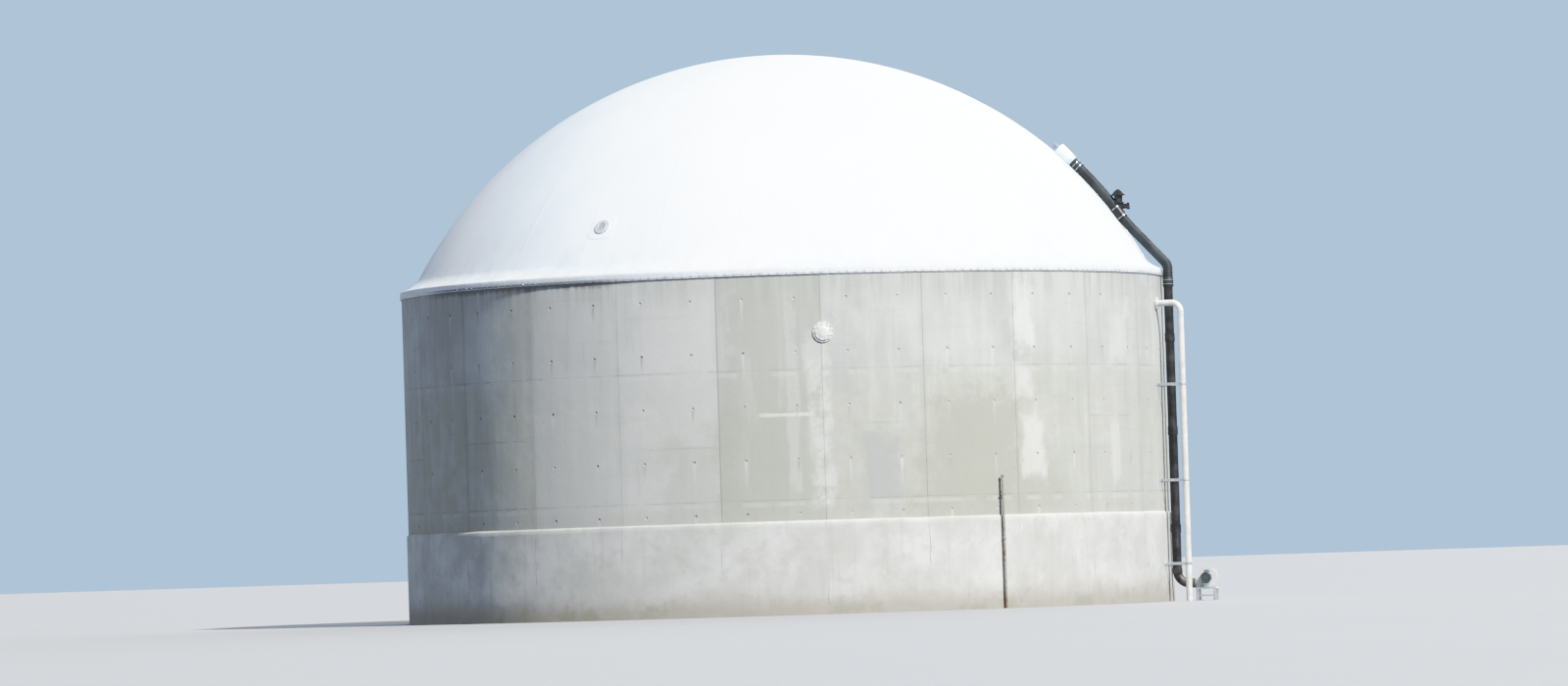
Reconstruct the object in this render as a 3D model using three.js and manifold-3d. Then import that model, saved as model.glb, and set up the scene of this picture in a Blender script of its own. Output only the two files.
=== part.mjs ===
// Biogas digester: a round cast-concrete tank under a white double-membrane gas dome.
// Millimetres, +Z up. The origin is on the tank's axis at ground level, and -Y faces the viewer.
// Azimuths are degrees about +Z from +X, so -90 is the front and 0 is the right-hand side.
import * as THREE from 'three';
import { mergeVertices } from 'three/addons/utils/BufferGeometryUtils.js';
import Module from 'manifold-3d';

const wasm = await Module();
wasm.setup();

// Tank wall, cast in curved formwork panels
const WALL_OUTER_RADIUS = 9250;
const WALL_THICKNESS = 250;
const WALL_HEIGHT = 8000;
const PANELS_AROUND = 24;
const PANELS_PER_SEGMENT = 2;
const FACETS_PER_PANEL = 4;
const FIRST_JOINT = -84.7;
const FLOOR_THICKNESS = 250;

// Rendered band round the wall's foot
const FOOT_HEIGHT = 2170;
const FOOT_THICKNESS = 45;
const FOOT_SPLAY = 30;
const FOOT_SEGMENTS = 6;

// Rail that clamps the membrane's hem outside the wall's top edge
const RAIL_WIDTH = 50;
const RAIL_HEIGHT = 160;
const RAIL_SEGMENTS = 6;

// Gas dome, a spherical cap with a flat hem on the wall's top
const DOME_BASE_RADIUS = 9000;
const DOME_RISE = 5540;
const DOME_THICKNESS = 60;
const HEM_THICKNESS = 40;
const DOME_FACETS_AROUND = 72;
const DOME_FACETS_UP = 10;

// Support-air line: pipe up the wall, hose over the rim, white collar on the dome
const AIR_AZIMUTH = -10;
const AIR_RADIUS = 110;
const AIR_STANDOFF = 185;
const AIR_SIDES = 14;
const AIR_FOOT_HEIGHT = 420;
const AIR_FOOT_BEND = 300;
const HOSE_RADIUS = 125;
const HOSE_START_HEIGHT = 7560;
const HOSE_STEPS_ON_DOME = 12;
const HOSE_TOP_ANGLE = 45;
const HOSE_LEAVE_ANGLE = 56;
const HOSE_RIM_SLOPE = 47.5;
const HOSE_RIM_BEND = 250;
const COLLAR_RADIUS = 150;
const COLLAR_LENGTH = 480;
const COLLAR_CAP_RADIUS = 85;
const COLLAR_CAP_LENGTH = 140;

// Gas draw-off pipe
const GAS_AZIMUTH = -15;
const GAS_RADIUS = 75;
const GAS_OUTLET_HEIGHT = 7150;
const GAS_STANDOFF = 600;
const GAS_SIDES = 12;
const GAS_BEND = 220;
const GAS_FLANGE_RADIUS = 150;
const GAS_FLANGE_THICKNESS = 28;

// Brackets that carry both lines
const BRACKET_HEIGHTS = [900, 2900, 5200];
const BRACKET_FLAT = 70;
const BRACKET_BAR = 14;
const BRACKET_ARM = 40;
const BRACKET_RING = 14;
const BRACKET_OVERRUN = 1;
const BRACKET_FACETS = 4;

// Flanged port high on the front of the wall
const PORT_AZIMUTH = -84.4;
const PORT_HEIGHT = 6500;
const PORT_FLANGE_RADIUS = 240;
const PORT_FLANGE_THICKNESS = 30;
const PORT_COVER_RADIUS = 190;
const PORT_COVER_THICKNESS = 45;

// Sight window near the dome's foot
const WINDOW_AZIMUTH = -120;
const WINDOW_HEIGHT = 9170;
const WINDOW_RADIUS = 190;
const WINDOW_THICKNESS = 40;

// Slim standpipe at the wall's foot
const STANDPIPE_AZIMUTH = -57.9;
const STANDPIPE_RADIUS = 30;
const STANDPIPE_HEIGHT = 3100;
const STANDPIPE_CAP_RADIUS = 38;
const STANDPIPE_CAP_HEIGHT = 45;
const STANDPIPE_CLEARANCE = 30;
const CLIP_HEIGHT = 2650;
const CLIP_RING = 8;
const CLIP_FLAT = 40;

// Support-air blower beside the air line's foot
const BLOWER_CENTRE_RADIUS = 10160;
const BLOWER_HOUSING_RADIUS = 240;
const BLOWER_HOUSING_WIDTH = 230;
const BLOWER_NECK_LENGTH = 280;
const BLOWER_NECK_HEIGHT = 220;
const MOTOR_RADIUS = 130;
const MOTOR_LENGTH = 310;
const INTAKE_RADIUS = 140;
const INTAKE_LENGTH = 170;
const STAND_LEG = 60;
const STAND_DECK = 40;

// Steps that round off a pipe's bend, and the sides of the other round parts
const BEND_STEPS = 6;
const WIDE_SIDES = 32;
const RING_SIDES = 24;
const SLIM_SIDES = 20;

// Clearance between pieces that touch
const SEAT_GAP = 0.3;

// Corners closer than this are one corner
const WELD_DISTANCE = 1e-3;

const DEGREE = Math.PI / 180;
const WALL_INNER_RADIUS = WALL_OUTER_RADIUS - WALL_THICKNESS;
const WALL_SEGMENTS = PANELS_AROUND / PANELS_PER_SEGMENT;
const FACETS_AROUND = PANELS_AROUND * FACETS_PER_PANEL;
const FOOT_OUTER_RADIUS = WALL_OUTER_RADIUS + FOOT_THICKNESS;
const HEM_RADIUS = WALL_OUTER_RADIUS + RAIL_WIDTH;
const SPHERE_RADIUS = (DOME_BASE_RADIUS ** 2 + DOME_RISE ** 2) / (2 * DOME_RISE);
const SPHERE_CENTRE_HEIGHT = WALL_HEIGHT + DOME_RISE - SPHERE_RADIUS;
const AIR_LINE_RADIUS = WALL_OUTER_RADIUS + AIR_STANDOFF;
const GAS_LINE_RADIUS = WALL_OUTER_RADIUS + GAS_STANDOFF;

const digester = new THREE.Group();

function surface(color, roughness, metalness = 0) {
  return new THREE.MeshStandardMaterial({ color, roughness, metalness });
}

const concrete = surface(0xbfc2bb, 0.9);
const footRender = surface(0xd6d8cd, 0.9);
const membrane = surface(0xf4f6f8, 0.45);
const galvanised = surface(0xb9bdc0, 0.45, 0.8);
const blackPlastic = surface(0x2a2c2f, 0.55);
const greyHose = surface(0x555d66, 0.6);
const greyPlastic = surface(0x8b9299, 0.5);
const whitePaint = surface(0xe8e9e6, 0.5);
const motorPaint = surface(0x7d8a90, 0.5, 0.3);
const rustySteel = surface(0x7a4a33, 0.85, 0.3);

function addPiece(name, geometry, material) {
  const mesh = new THREE.Mesh(geometry, material);
  mesh.name = name;
  digester.add(mesh);
}

// A point at a distance from the tank's axis, in a direction given by its azimuth
function around(radius, azimuth, height) {
  const angle = azimuth * DEGREE;
  return new THREE.Vector3(radius * Math.cos(angle), radius * Math.sin(angle), height);
}

// A point on a sphere about the dome's centre, by its angle down from the top
function onSphere(radius, downAngle, azimuth) {
  const down = downAngle * DEGREE;
  return around(radius * Math.sin(down), azimuth, SPHERE_CENTRE_HEIGHT + radius * Math.cos(down));
}

// Sweeps an anticlockwise (radius, height) outline about the tank's axis, with flat ends
function arcPiece(outline, startAzimuth, endAzimuth, facets) {
  const count = outline.length;
  const positions = [];
  const indices = [];
  for (let step = 0; step <= facets; step++) {
    const azimuth = startAzimuth + ((endAzimuth - startAzimuth) * step) / facets;
    for (const [radius, height] of outline) {
      positions.push(...around(radius, azimuth, height).toArray());
    }
  }
  for (let step = 0; step < facets; step++) {
    for (let corner = 0; corner < count; corner++) {
      const here = step * count + corner;
      const beside = step * count + ((corner + 1) % count);
      indices.push(here, here + count, beside + count);
      indices.push(here, beside + count, beside);
    }
  }
  const contour = outline.map(([radius, height]) => new THREE.Vector2(radius, height));
  const lastRow = facets * count;
  for (const [a, b, c] of THREE.ShapeUtils.triangulateShape(contour, [])) {
    indices.push(a, b, c);
    indices.push(lastRow + a, lastRow + c, lastRow + b);
  }
  const geometry = new THREE.BufferGeometry();
  geometry.setAttribute('position', new THREE.Float32BufferAttribute(positions, 3));
  geometry.setIndex(indices);
  return geometry;
}

// Equal lengths of a ring, one node each, parted by the seat gap
function addRing(name, outline, segments, outerRadius, material) {
  const halfGap = SEAT_GAP / 2 / outerRadius / DEGREE;
  const span = 360 / segments;
  for (let index = 0; index < segments; index++) {
    const start = FIRST_JOINT + span * index;
    const number = String(index + 1).padStart(2, '0');
    const piece = arcPiece(outline, start + halfGap, start + span - halfGap, FACETS_AROUND / segments);
    addPiece(`${name}_${number}`, piece, material);
  }
}

// A regular prism about the tank's axis, with its corners at the wall's facets
function tankPrism(radius, bottom, top) {
  const corners = [];
  for (let facet = 0; facet < FACETS_AROUND; facet++) {
    const corner = around(radius, FIRST_JOINT + (360 * facet) / FACETS_AROUND, 0);
    corners.push(new THREE.Vector2(corner.x, corner.y));
  }
  const shape = new THREE.Shape(corners);
  const geometry = new THREE.ExtrudeGeometry(shape, { depth: top - bottom, bevelEnabled: false });
  return geometry.translate(0, 0, bottom);
}

function latheAboutZ(points, sides) {
  const profile = points.map(([radius, height]) => new THREE.Vector2(radius, height));
  return new THREE.LatheGeometry(profile, sides).rotateX(Math.PI / 2);
}

// A cylinder from one point to another
function rod(from, to, radius, sides) {
  const axis = new THREE.Vector3().subVectors(to, from);
  const geometry = new THREE.CylinderGeometry(radius, radius, axis.length(), sides);
  const up = new THREE.Vector3(0, 1, 0);
  geometry.applyQuaternion(new THREE.Quaternion().setFromUnitVectors(up, axis.normalize()));
  const middle = new THREE.Vector3().addVectors(from, to).multiplyScalar(0.5);
  return geometry.translate(middle.x, middle.y, middle.z);
}

// A block standing radially at an azimuth, between two distances from the axis
function radialBlock(innerRadius, outerRadius, width, height, azimuth, centreHeight) {
  const geometry = new THREE.BoxGeometry(outerRadius - innerRadius, width, height);
  geometry.translate((innerRadius + outerRadius) / 2, 0, centreHeight);
  return geometry.rotateZ(azimuth * DEGREE);
}

// A path that steps from point to point, so that a straight stretch takes one step
class Route extends THREE.Curve {
  constructor(points) {
    super();
    this.points = points;
  }

  getPoint(t, target = new THREE.Vector3()) {
    const place = t * (this.points.length - 1);
    const index = Math.min(Math.floor(place + 1e-9), this.points.length - 2);
    return target.lerpVectors(this.points[index], this.points[index + 1], place - index);
  }

  getPointAt(u, target) {
    return this.getPoint(u, target);
  }

  getTangentAt(u, target = new THREE.Vector3()) {
    const index = Math.round(u * (this.points.length - 1));
    const before = this.points[Math.max(index - 1, 0)];
    const here = this.points[index];
    const after = this.points[Math.min(index + 1, this.points.length - 1)];
    const arriving = new THREE.Vector3().subVectors(here, before).normalize();
    const leaving = new THREE.Vector3().subVectors(after, here).normalize();
    return target.addVectors(arriving, leaving).normalize();
  }
}

// Joins corners by straight stretches, with a round bend of its own radius at each inner corner
function bentRoute(corners, bendRadii, stepsPerBend) {
  const points = [corners[0]];
  for (let index = 1; index < corners.length - 1; index++) {
    const corner = corners[index];
    const arriving = new THREE.Vector3().subVectors(corner, corners[index - 1]).normalize();
    const leaving = new THREE.Vector3().subVectors(corners[index + 1], corner).normalize();
    const turn = arriving.angleTo(leaving);
    const radius = bendRadii[index - 1];
    const setback = radius * Math.tan(turn / 2);
    const start = corner.clone().addScaledVector(arriving, -setback);
    const inward = leaving.clone().addScaledVector(arriving, -leaving.dot(arriving)).normalize();
    for (let step = 0; step <= stepsPerBend; step++) {
      const angle = (turn * step) / stepsPerBend;
      const point = start.clone().addScaledVector(arriving, radius * Math.sin(angle));
      points.push(point.addScaledVector(inward, radius * (1 - Math.cos(angle))));
    }
  }
  points.push(corners[corners.length - 1]);
  return new Route(points);
}

function tubeAlong(route, radius, sides) {
  const section = [];
  for (let side = 0; side < sides; side++) {
    const angle = (2 * Math.PI * side) / sides;
    section.push(new THREE.Vector2(radius * Math.cos(angle), radius * Math.sin(angle)));
  }
  const options = { steps: route.points.length - 1, extrudePath: route, bevelEnabled: false };
  return new THREE.ExtrudeGeometry(new THREE.Shape(section), options);
}

function toSolid(geometry) {
  const bare = geometry.clone();
  bare.deleteAttribute('normal');
  bare.deleteAttribute('uv');
  const merged = mergeVertices(bare, WELD_DISTANCE);
  const corners = merged.index.array;
  const kept = [];
  for (let start = 0; start < corners.length; start += 3) {
    const [a, b, c] = corners.slice(start, start + 3);
    if (a !== b && b !== c && c !== a) {
      kept.push(a, b, c);
    }
  }
  return new wasm.Manifold(new wasm.Mesh({
    numProp: 3,
    vertProperties: new Float32Array(merged.attributes.position.array),
    triVerts: new Uint32Array(kept),
  }));
}

function toGeometry(solid) {
  const mesh = solid.getMesh();
  const geometry = new THREE.BufferGeometry();
  geometry.setAttribute('position', new THREE.Float32BufferAttribute(mesh.vertProperties, 3));
  geometry.setIndex(Array.from(mesh.triVerts));
  return geometry;
}

function joined(...geometries) {
  return geometries.map(toSolid).reduce((whole, part) => whole.add(part));
}

// How far a facet's corner lies out when its flat side clears a radius by the seat gap
function clearedRadius(radius, sides) {
  return radius + SEAT_GAP / Math.cos(Math.PI / sides);
}

// What the wall and its foot band fill, grown by the seat gap and run on below and above them
const wallSolid = joined(
  tankPrism(clearedRadius(WALL_OUTER_RADIUS, FACETS_AROUND), -FOOT_HEIGHT, 2 * WALL_HEIGHT),
  tankPrism(clearedRadius(FOOT_OUTER_RADIUS, FACETS_AROUND), -FOOT_HEIGHT, FOOT_HEIGHT + SEAT_GAP),
);

function seatOnWall(solid) {
  return toGeometry(solid.subtract(wallSolid));
}

// The angle down from the dome's top at which a sphere about its centre comes to a height
function downAngleAt(radius, height) {
  return Math.acos((height - SPHERE_CENTRE_HEIGHT) / radius);
}

// Points on an arc of the dome's section, from its foot to its top
function domeArc(radius, footAngle) {
  const points = [];
  for (let step = 0; step <= DOME_FACETS_UP; step++) {
    const angle = footAngle * (1 - step / DOME_FACETS_UP);
    const distance = step === DOME_FACETS_UP ? 0 : radius * Math.sin(angle);
    points.push([distance, SPHERE_CENTRE_HEIGHT + radius * Math.cos(angle)]);
  }
  return points;
}

const hemBottom = WALL_HEIGHT + SEAT_GAP;
const hemTop = WALL_HEIGHT + HEM_THICKNESS;
const innerSphere = SPHERE_RADIUS - DOME_THICKNESS;
const domeInner = domeArc(innerSphere, downAngleAt(innerSphere, hemBottom));
const domeOuter = domeArc(SPHERE_RADIUS, downAngleAt(SPHERE_RADIUS, hemTop));

// What the dome fills, with the same facets as its outside, grown by the seat gap
function domeSolid() {
  const grown = clearedRadius(SPHERE_RADIUS, DOME_FACETS_AROUND);
  const arc = domeArc(grown, downAngleAt(SPHERE_RADIUS, hemTop));
  return toSolid(latheAboutZ([[0, WALL_HEIGHT], ...arc], DOME_FACETS_AROUND));
}

function seatOnDome(solid) {
  return toGeometry(solid.subtract(domeSolid()));
}

// Floor
addPiece('floor_slab', tankPrism(WALL_INNER_RADIUS - SEAT_GAP, 0, FLOOR_THICKNESS), concrete);

// Wall
const wallOutline = [
  [WALL_INNER_RADIUS, 0],
  [WALL_OUTER_RADIUS, 0],
  [WALL_OUTER_RADIUS, WALL_HEIGHT],
  [WALL_INNER_RADIUS, WALL_HEIGHT],
];
addRing('wall_segment', wallOutline, WALL_SEGMENTS, WALL_OUTER_RADIUS, concrete);

// Foot band
const clearOfWall = clearedRadius(WALL_OUTER_RADIUS, FACETS_AROUND);
const footOutline = [
  [clearOfWall, 0],
  [FOOT_OUTER_RADIUS, 0],
  [FOOT_OUTER_RADIUS, FOOT_HEIGHT - FOOT_SPLAY],
  [clearOfWall, FOOT_HEIGHT],
];
addRing('foot_band', footOutline, FOOT_SEGMENTS, FOOT_OUTER_RADIUS, footRender);

// Clamp rail
const railOutline = [
  [clearOfWall, WALL_HEIGHT - RAIL_HEIGHT],
  [HEM_RADIUS, WALL_HEIGHT - RAIL_HEIGHT],
  [HEM_RADIUS, WALL_HEIGHT],
  [clearOfWall, WALL_HEIGHT],
];
addRing('clamp_rail', railOutline, RAIL_SEGMENTS, HEM_RADIUS, galvanised);

// Gas dome with its hem
const domeProfile = [
  ...domeInner.toReversed(),
  [HEM_RADIUS, hemBottom],
  [HEM_RADIUS, hemTop],
  ...domeOuter,
];
addPiece('dome_membrane', latheAboutZ(domeProfile, DOME_FACETS_AROUND), membrane);

// Air pipe from the blower up the wall
const airTop = around(AIR_LINE_RADIUS, AIR_AZIMUTH, HOSE_START_HEIGHT);
const airFoot = around(AIR_LINE_RADIUS, AIR_AZIMUTH, AIR_FOOT_HEIGHT);
const blowerCentre = around(BLOWER_CENTRE_RADIUS, AIR_AZIMUTH, 0);
const neckRadius = BLOWER_CENTRE_RADIUS - BLOWER_NECK_LENGTH;
const airEnd = around(neckRadius - SEAT_GAP, AIR_AZIMUTH, AIR_FOOT_HEIGHT);
const airRoute = bentRoute([airTop, airFoot, airEnd], [AIR_FOOT_BEND], BEND_STEPS);
addPiece('air_pipe', tubeAlong(airRoute, AIR_RADIUS, AIR_SIDES), blackPlastic);

// Air hose: along the dome, then off it at a gentler slope, over the hem and down
const hoseSphere = SPHERE_RADIUS + HOSE_RADIUS + SEAT_GAP;
const hoseLeave = onSphere(hoseSphere, HOSE_LEAVE_ANGLE, AIR_AZIMUTH);
const hoseRun = AIR_LINE_RADIUS - hoseSphere * Math.sin(HOSE_LEAVE_ANGLE * DEGREE);
const hoseDrop = hoseRun * Math.tan(HOSE_RIM_SLOPE * DEGREE);
const hoseCorner = around(AIR_LINE_RADIUS, AIR_AZIMUTH, hoseLeave.z - hoseDrop);
const hoseFoot = around(AIR_LINE_RADIUS, AIR_AZIMUTH, HOSE_START_HEIGHT + SEAT_GAP);
const hoseOnDome = [];
for (let step = 0; step < HOSE_STEPS_ON_DOME; step++) {
  const angle = HOSE_TOP_ANGLE + ((HOSE_LEAVE_ANGLE - HOSE_TOP_ANGLE) * step) / HOSE_STEPS_ON_DOME;
  hoseOnDome.push(onSphere(hoseSphere, angle, AIR_AZIMUTH));
}
const hoseOverRim = bentRoute([hoseLeave, hoseCorner, hoseFoot], [HOSE_RIM_BEND], BEND_STEPS);
const hoseRoute = new Route([...hoseOnDome, ...hoseOverRim.points]);
addPiece('air_hose', tubeAlong(hoseRoute, HOSE_RADIUS, AIR_SIDES), greyHose);

// White collar on the dome, with its end cap
const hoseTop = hoseOnDome[0];
const upSlope = new THREE.Vector3().subVectors(hoseTop, hoseOnDome[1]).normalize();
const collarStart = hoseTop.clone().addScaledVector(upSlope, SEAT_GAP);
const collarEnd = collarStart.clone().addScaledVector(upSlope, COLLAR_LENGTH);
const collar = toSolid(rod(collarStart, collarEnd, COLLAR_RADIUS, SLIM_SIDES));
addPiece('inlet_collar', seatOnDome(collar), membrane);
const capStart = collarEnd.clone().addScaledVector(upSlope, SEAT_GAP);
const capEnd = capStart.clone().addScaledVector(upSlope, COLLAR_CAP_LENGTH);
const cap = toSolid(rod(capStart, capEnd, COLLAR_CAP_RADIUS, SLIM_SIDES));
addPiece('inlet_cap', seatOnDome(cap), greyPlastic);

// Gas pipe from the wall's top down to the ground
const gasWall = around(WALL_OUTER_RADIUS + GAS_FLANGE_THICKNESS + SEAT_GAP, GAS_AZIMUTH, GAS_OUTLET_HEIGHT);
const gasCorner = around(GAS_LINE_RADIUS, GAS_AZIMUTH, GAS_OUTLET_HEIGHT);
const gasFoot = around(GAS_LINE_RADIUS, GAS_AZIMUTH, 0);
const gasRoute = bentRoute([gasWall, gasCorner, gasFoot], [GAS_BEND], BEND_STEPS);
addPiece('gas_pipe', tubeAlong(gasRoute, GAS_RADIUS, GAS_SIDES), whitePaint);

// A round plate standing on the wall, sunk to its seat and cut there
function wallPlate(radius, thickness, azimuth, height, sides) {
  const back = around(WALL_OUTER_RADIUS - WALL_THICKNESS / 2, azimuth, height);
  const front = around(WALL_OUTER_RADIUS + thickness, azimuth, height);
  return seatOnWall(toSolid(rod(back, front, radius, sides)));
}

addPiece(
  'gas_flange',
  wallPlate(GAS_FLANGE_RADIUS, GAS_FLANGE_THICKNESS, GAS_AZIMUTH, GAS_OUTLET_HEIGHT, RING_SIDES),
  galvanised,
);

// Brackets: a flat bar along the wall, an arm and a ring for each line
const airHole = toSolid(tubeAlong(airRoute, clearedRadius(AIR_RADIUS, AIR_SIDES), AIR_SIDES));
const gasHole = toSolid(tubeAlong(gasRoute, clearedRadius(GAS_RADIUS, GAS_SIDES), GAS_SIDES));

function bracketRing(lineRadius, azimuth, tubeRadius, height) {
  const low = around(lineRadius, azimuth, height - BRACKET_FLAT / 2);
  const high = around(lineRadius, azimuth, height + BRACKET_FLAT / 2);
  return rod(low, high, tubeRadius + BRACKET_RING, RING_SIDES);
}

function bracket(height) {
  const carrier = height < FOOT_HEIGHT ? FOOT_OUTER_RADIUS : WALL_OUTER_RADIUS;
  const low = height - BRACKET_FLAT / 2;
  const high = height + BRACKET_FLAT / 2;
  const sunk = carrier - WALL_THICKNESS / 2;
  const proud = carrier + BRACKET_BAR;
  const barOutline = [[sunk, low], [proud, low], [proud, high], [sunk, high]];
  const barStart = GAS_AZIMUTH - BRACKET_OVERRUN;
  const barEnd = AIR_AZIMUTH + BRACKET_OVERRUN;
  const bar = arcPiece(barOutline, barStart, barEnd, BRACKET_FACETS);
  const airArm = radialBlock(sunk, AIR_LINE_RADIUS, BRACKET_ARM, BRACKET_FLAT, AIR_AZIMUTH, height);
  const gasArm = radialBlock(sunk, GAS_LINE_RADIUS, BRACKET_ARM, BRACKET_FLAT, GAS_AZIMUTH, height);
  const airRing = bracketRing(AIR_LINE_RADIUS, AIR_AZIMUTH, AIR_RADIUS, height);
  const gasRing = bracketRing(GAS_LINE_RADIUS, GAS_AZIMUTH, GAS_RADIUS, height);
  return seatOnWall(joined(bar, airArm, gasArm, airRing, gasRing).subtract(airHole).subtract(gasHole));
}

BRACKET_HEIGHTS.forEach((height, index) => {
  addPiece(`pipe_bracket_${index + 1}`, bracket(height), galvanised);
});

// Wall port
addPiece(
  'port_flange',
  wallPlate(PORT_FLANGE_RADIUS, PORT_FLANGE_THICKNESS, PORT_AZIMUTH, PORT_HEIGHT, WIDE_SIDES),
  whitePaint,
);
const coverBack = WALL_OUTER_RADIUS + PORT_FLANGE_THICKNESS + SEAT_GAP;
const portCover = rod(
  around(coverBack, PORT_AZIMUTH, PORT_HEIGHT),
  around(coverBack + PORT_COVER_THICKNESS, PORT_AZIMUTH, PORT_HEIGHT),
  PORT_COVER_RADIUS,
  WIDE_SIDES,
);
addPiece('port_cover', portCover, whitePaint);

// Sight window
const windowDown = downAngleAt(SPHERE_RADIUS, WINDOW_HEIGHT) / DEGREE;
const windowRod = rod(
  onSphere(innerSphere, windowDown, WINDOW_AZIMUTH),
  onSphere(SPHERE_RADIUS + WINDOW_THICKNESS, windowDown, WINDOW_AZIMUTH),
  WINDOW_RADIUS,
  WIDE_SIDES,
);
addPiece('sight_window', seatOnDome(toSolid(windowRod)), greyPlastic);

// Standpipe and its clip
const standpipeDistance = FOOT_OUTER_RADIUS + STANDPIPE_CLEARANCE + STANDPIPE_RADIUS;
const standpipeFoot = around(standpipeDistance, STANDPIPE_AZIMUTH, 0);
const standpipeProfile = [
  [0, 0],
  [STANDPIPE_RADIUS, 0],
  [STANDPIPE_RADIUS, STANDPIPE_HEIGHT - STANDPIPE_CAP_HEIGHT],
  [STANDPIPE_CAP_RADIUS, STANDPIPE_HEIGHT - STANDPIPE_CAP_HEIGHT],
  [STANDPIPE_CAP_RADIUS, STANDPIPE_HEIGHT],
  [0, STANDPIPE_HEIGHT],
];
const standpipe = latheAboutZ(standpipeProfile, SLIM_SIDES).translate(standpipeFoot.x, standpipeFoot.y, 0);
addPiece('standpipe', standpipe, rustySteel);

function standpipeClip() {
  const low = around(standpipeDistance, STANDPIPE_AZIMUTH, CLIP_HEIGHT - CLIP_FLAT / 2);
  const high = around(standpipeDistance, STANDPIPE_AZIMUTH, CLIP_HEIGHT + CLIP_FLAT / 2);
  const ring = rod(low, high, STANDPIPE_RADIUS + CLIP_RING, SLIM_SIDES);
  const armWidth = CLIP_FLAT / 2;
  const sunk = WALL_OUTER_RADIUS - WALL_THICKNESS / 2;
  const arm = radialBlock(sunk, standpipeDistance, armWidth, CLIP_FLAT, STANDPIPE_AZIMUTH, CLIP_HEIGHT);
  const holeRadius = clearedRadius(STANDPIPE_RADIUS, SLIM_SIDES);
  const holeProfile = [[0, 0], [holeRadius, 0], [holeRadius, STANDPIPE_HEIGHT], [0, STANDPIPE_HEIGHT]];
  const hole = latheAboutZ(holeProfile, SLIM_SIDES).translate(standpipeFoot.x, standpipeFoot.y, 0);
  return seatOnWall(joined(ring, arm).subtract(toSolid(hole)));
}

addPiece('standpipe_clip', standpipeClip(), rustySteel);

// Blower, built along +X from the tank's axis and then turned to the air line's azimuth.
// Its shaft lies along the wall, and its neck points at the air pipe's foot.
const housingLow = AIR_FOOT_HEIGHT - BLOWER_NECK_HEIGHT / 2;
const housingHeight = housingLow + BLOWER_HOUSING_RADIUS;
const halfWidth = BLOWER_HOUSING_WIDTH / 2;

function turned(geometry) {
  return geometry.rotateZ(AIR_AZIMUTH * DEGREE);
}

function blowerHousing() {
  const outline = new THREE.Shape();
  outline.moveTo(-BLOWER_NECK_LENGTH, housingLow);
  outline.lineTo(0, housingLow);
  outline.absarc(0, housingHeight, BLOWER_HOUSING_RADIUS, -Math.PI / 2, Math.PI, false);
  outline.lineTo(-BLOWER_HOUSING_RADIUS, housingLow + BLOWER_NECK_HEIGHT);
  outline.lineTo(-BLOWER_NECK_LENGTH, housingLow + BLOWER_NECK_HEIGHT);
  outline.closePath();
  const options = { depth: BLOWER_HOUSING_WIDTH, bevelEnabled: false, curveSegments: RING_SIDES };
  const geometry = new THREE.ExtrudeGeometry(outline, options).rotateX(Math.PI / 2);
  return turned(geometry.translate(BLOWER_CENTRE_RADIUS, halfWidth, 0));
}

function shaftCylinder(nearY, farY, radius) {
  const near = new THREE.Vector3(BLOWER_CENTRE_RADIUS, nearY, housingHeight);
  const far = new THREE.Vector3(BLOWER_CENTRE_RADIUS, farY, housingHeight);
  return turned(rod(near, far, radius, RING_SIDES));
}

function standBlock(sizeX, sizeY, bottom, top, offsetX, offsetY) {
  const block = new THREE.BoxGeometry(sizeX, sizeY, top - bottom);
  return block.translate(BLOWER_CENTRE_RADIUS + offsetX, offsetY, (bottom + top) / 2);
}

function blowerStand() {
  const deckTop = housingLow - SEAT_GAP;
  const deckBottom = deckTop - STAND_DECK;
  const motorEnd = halfWidth + MOTOR_LENGTH;
  const deckX = 2 * BLOWER_HOUSING_RADIUS;
  const deckY = motorEnd + halfWidth;
  const deckOffsetY = (halfWidth - motorEnd) / 2;
  const saddleTop = housingHeight - MOTOR_RADIUS - SEAT_GAP;
  const saddleY = MOTOR_LENGTH - 2 * STAND_LEG;
  const saddleOffsetY = -(halfWidth + MOTOR_LENGTH / 2);
  const parts = [
    standBlock(deckX, deckY, deckBottom, deckTop, 0, deckOffsetY),
    standBlock(2 * STAND_LEG, saddleY, deckTop - STAND_DECK / 2, saddleTop, 0, saddleOffsetY),
  ];
  for (const sideX of [-1, 1]) {
    for (const sideY of [-1, 1]) {
      const legX = (sideX * (deckX - STAND_LEG)) / 2;
      const legY = deckOffsetY + (sideY * (deckY - STAND_LEG)) / 2;
      parts.push(standBlock(STAND_LEG, STAND_LEG, 0, deckTop - STAND_DECK / 2, legX, legY));
    }
  }
  return turned(toGeometry(joined(...parts)));
}

addPiece('blower_stand', blowerStand(), galvanised);
addPiece('blower_housing', blowerHousing(), whitePaint);
const motorNear = -halfWidth - SEAT_GAP;
addPiece('blower_motor', shaftCylinder(motorNear, motorNear - MOTOR_LENGTH, MOTOR_RADIUS), motorPaint);
const intakeNear = halfWidth + SEAT_GAP;
const intakeFar = intakeNear + INTAKE_LENGTH;
addPiece('blower_intake', shaftCylinder(intakeNear, intakeFar, INTAKE_RADIUS), greyPlastic);

export default digester;
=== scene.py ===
import math
import random

import bmesh
import bpy
from mathutils import Matrix, Vector, noise


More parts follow.
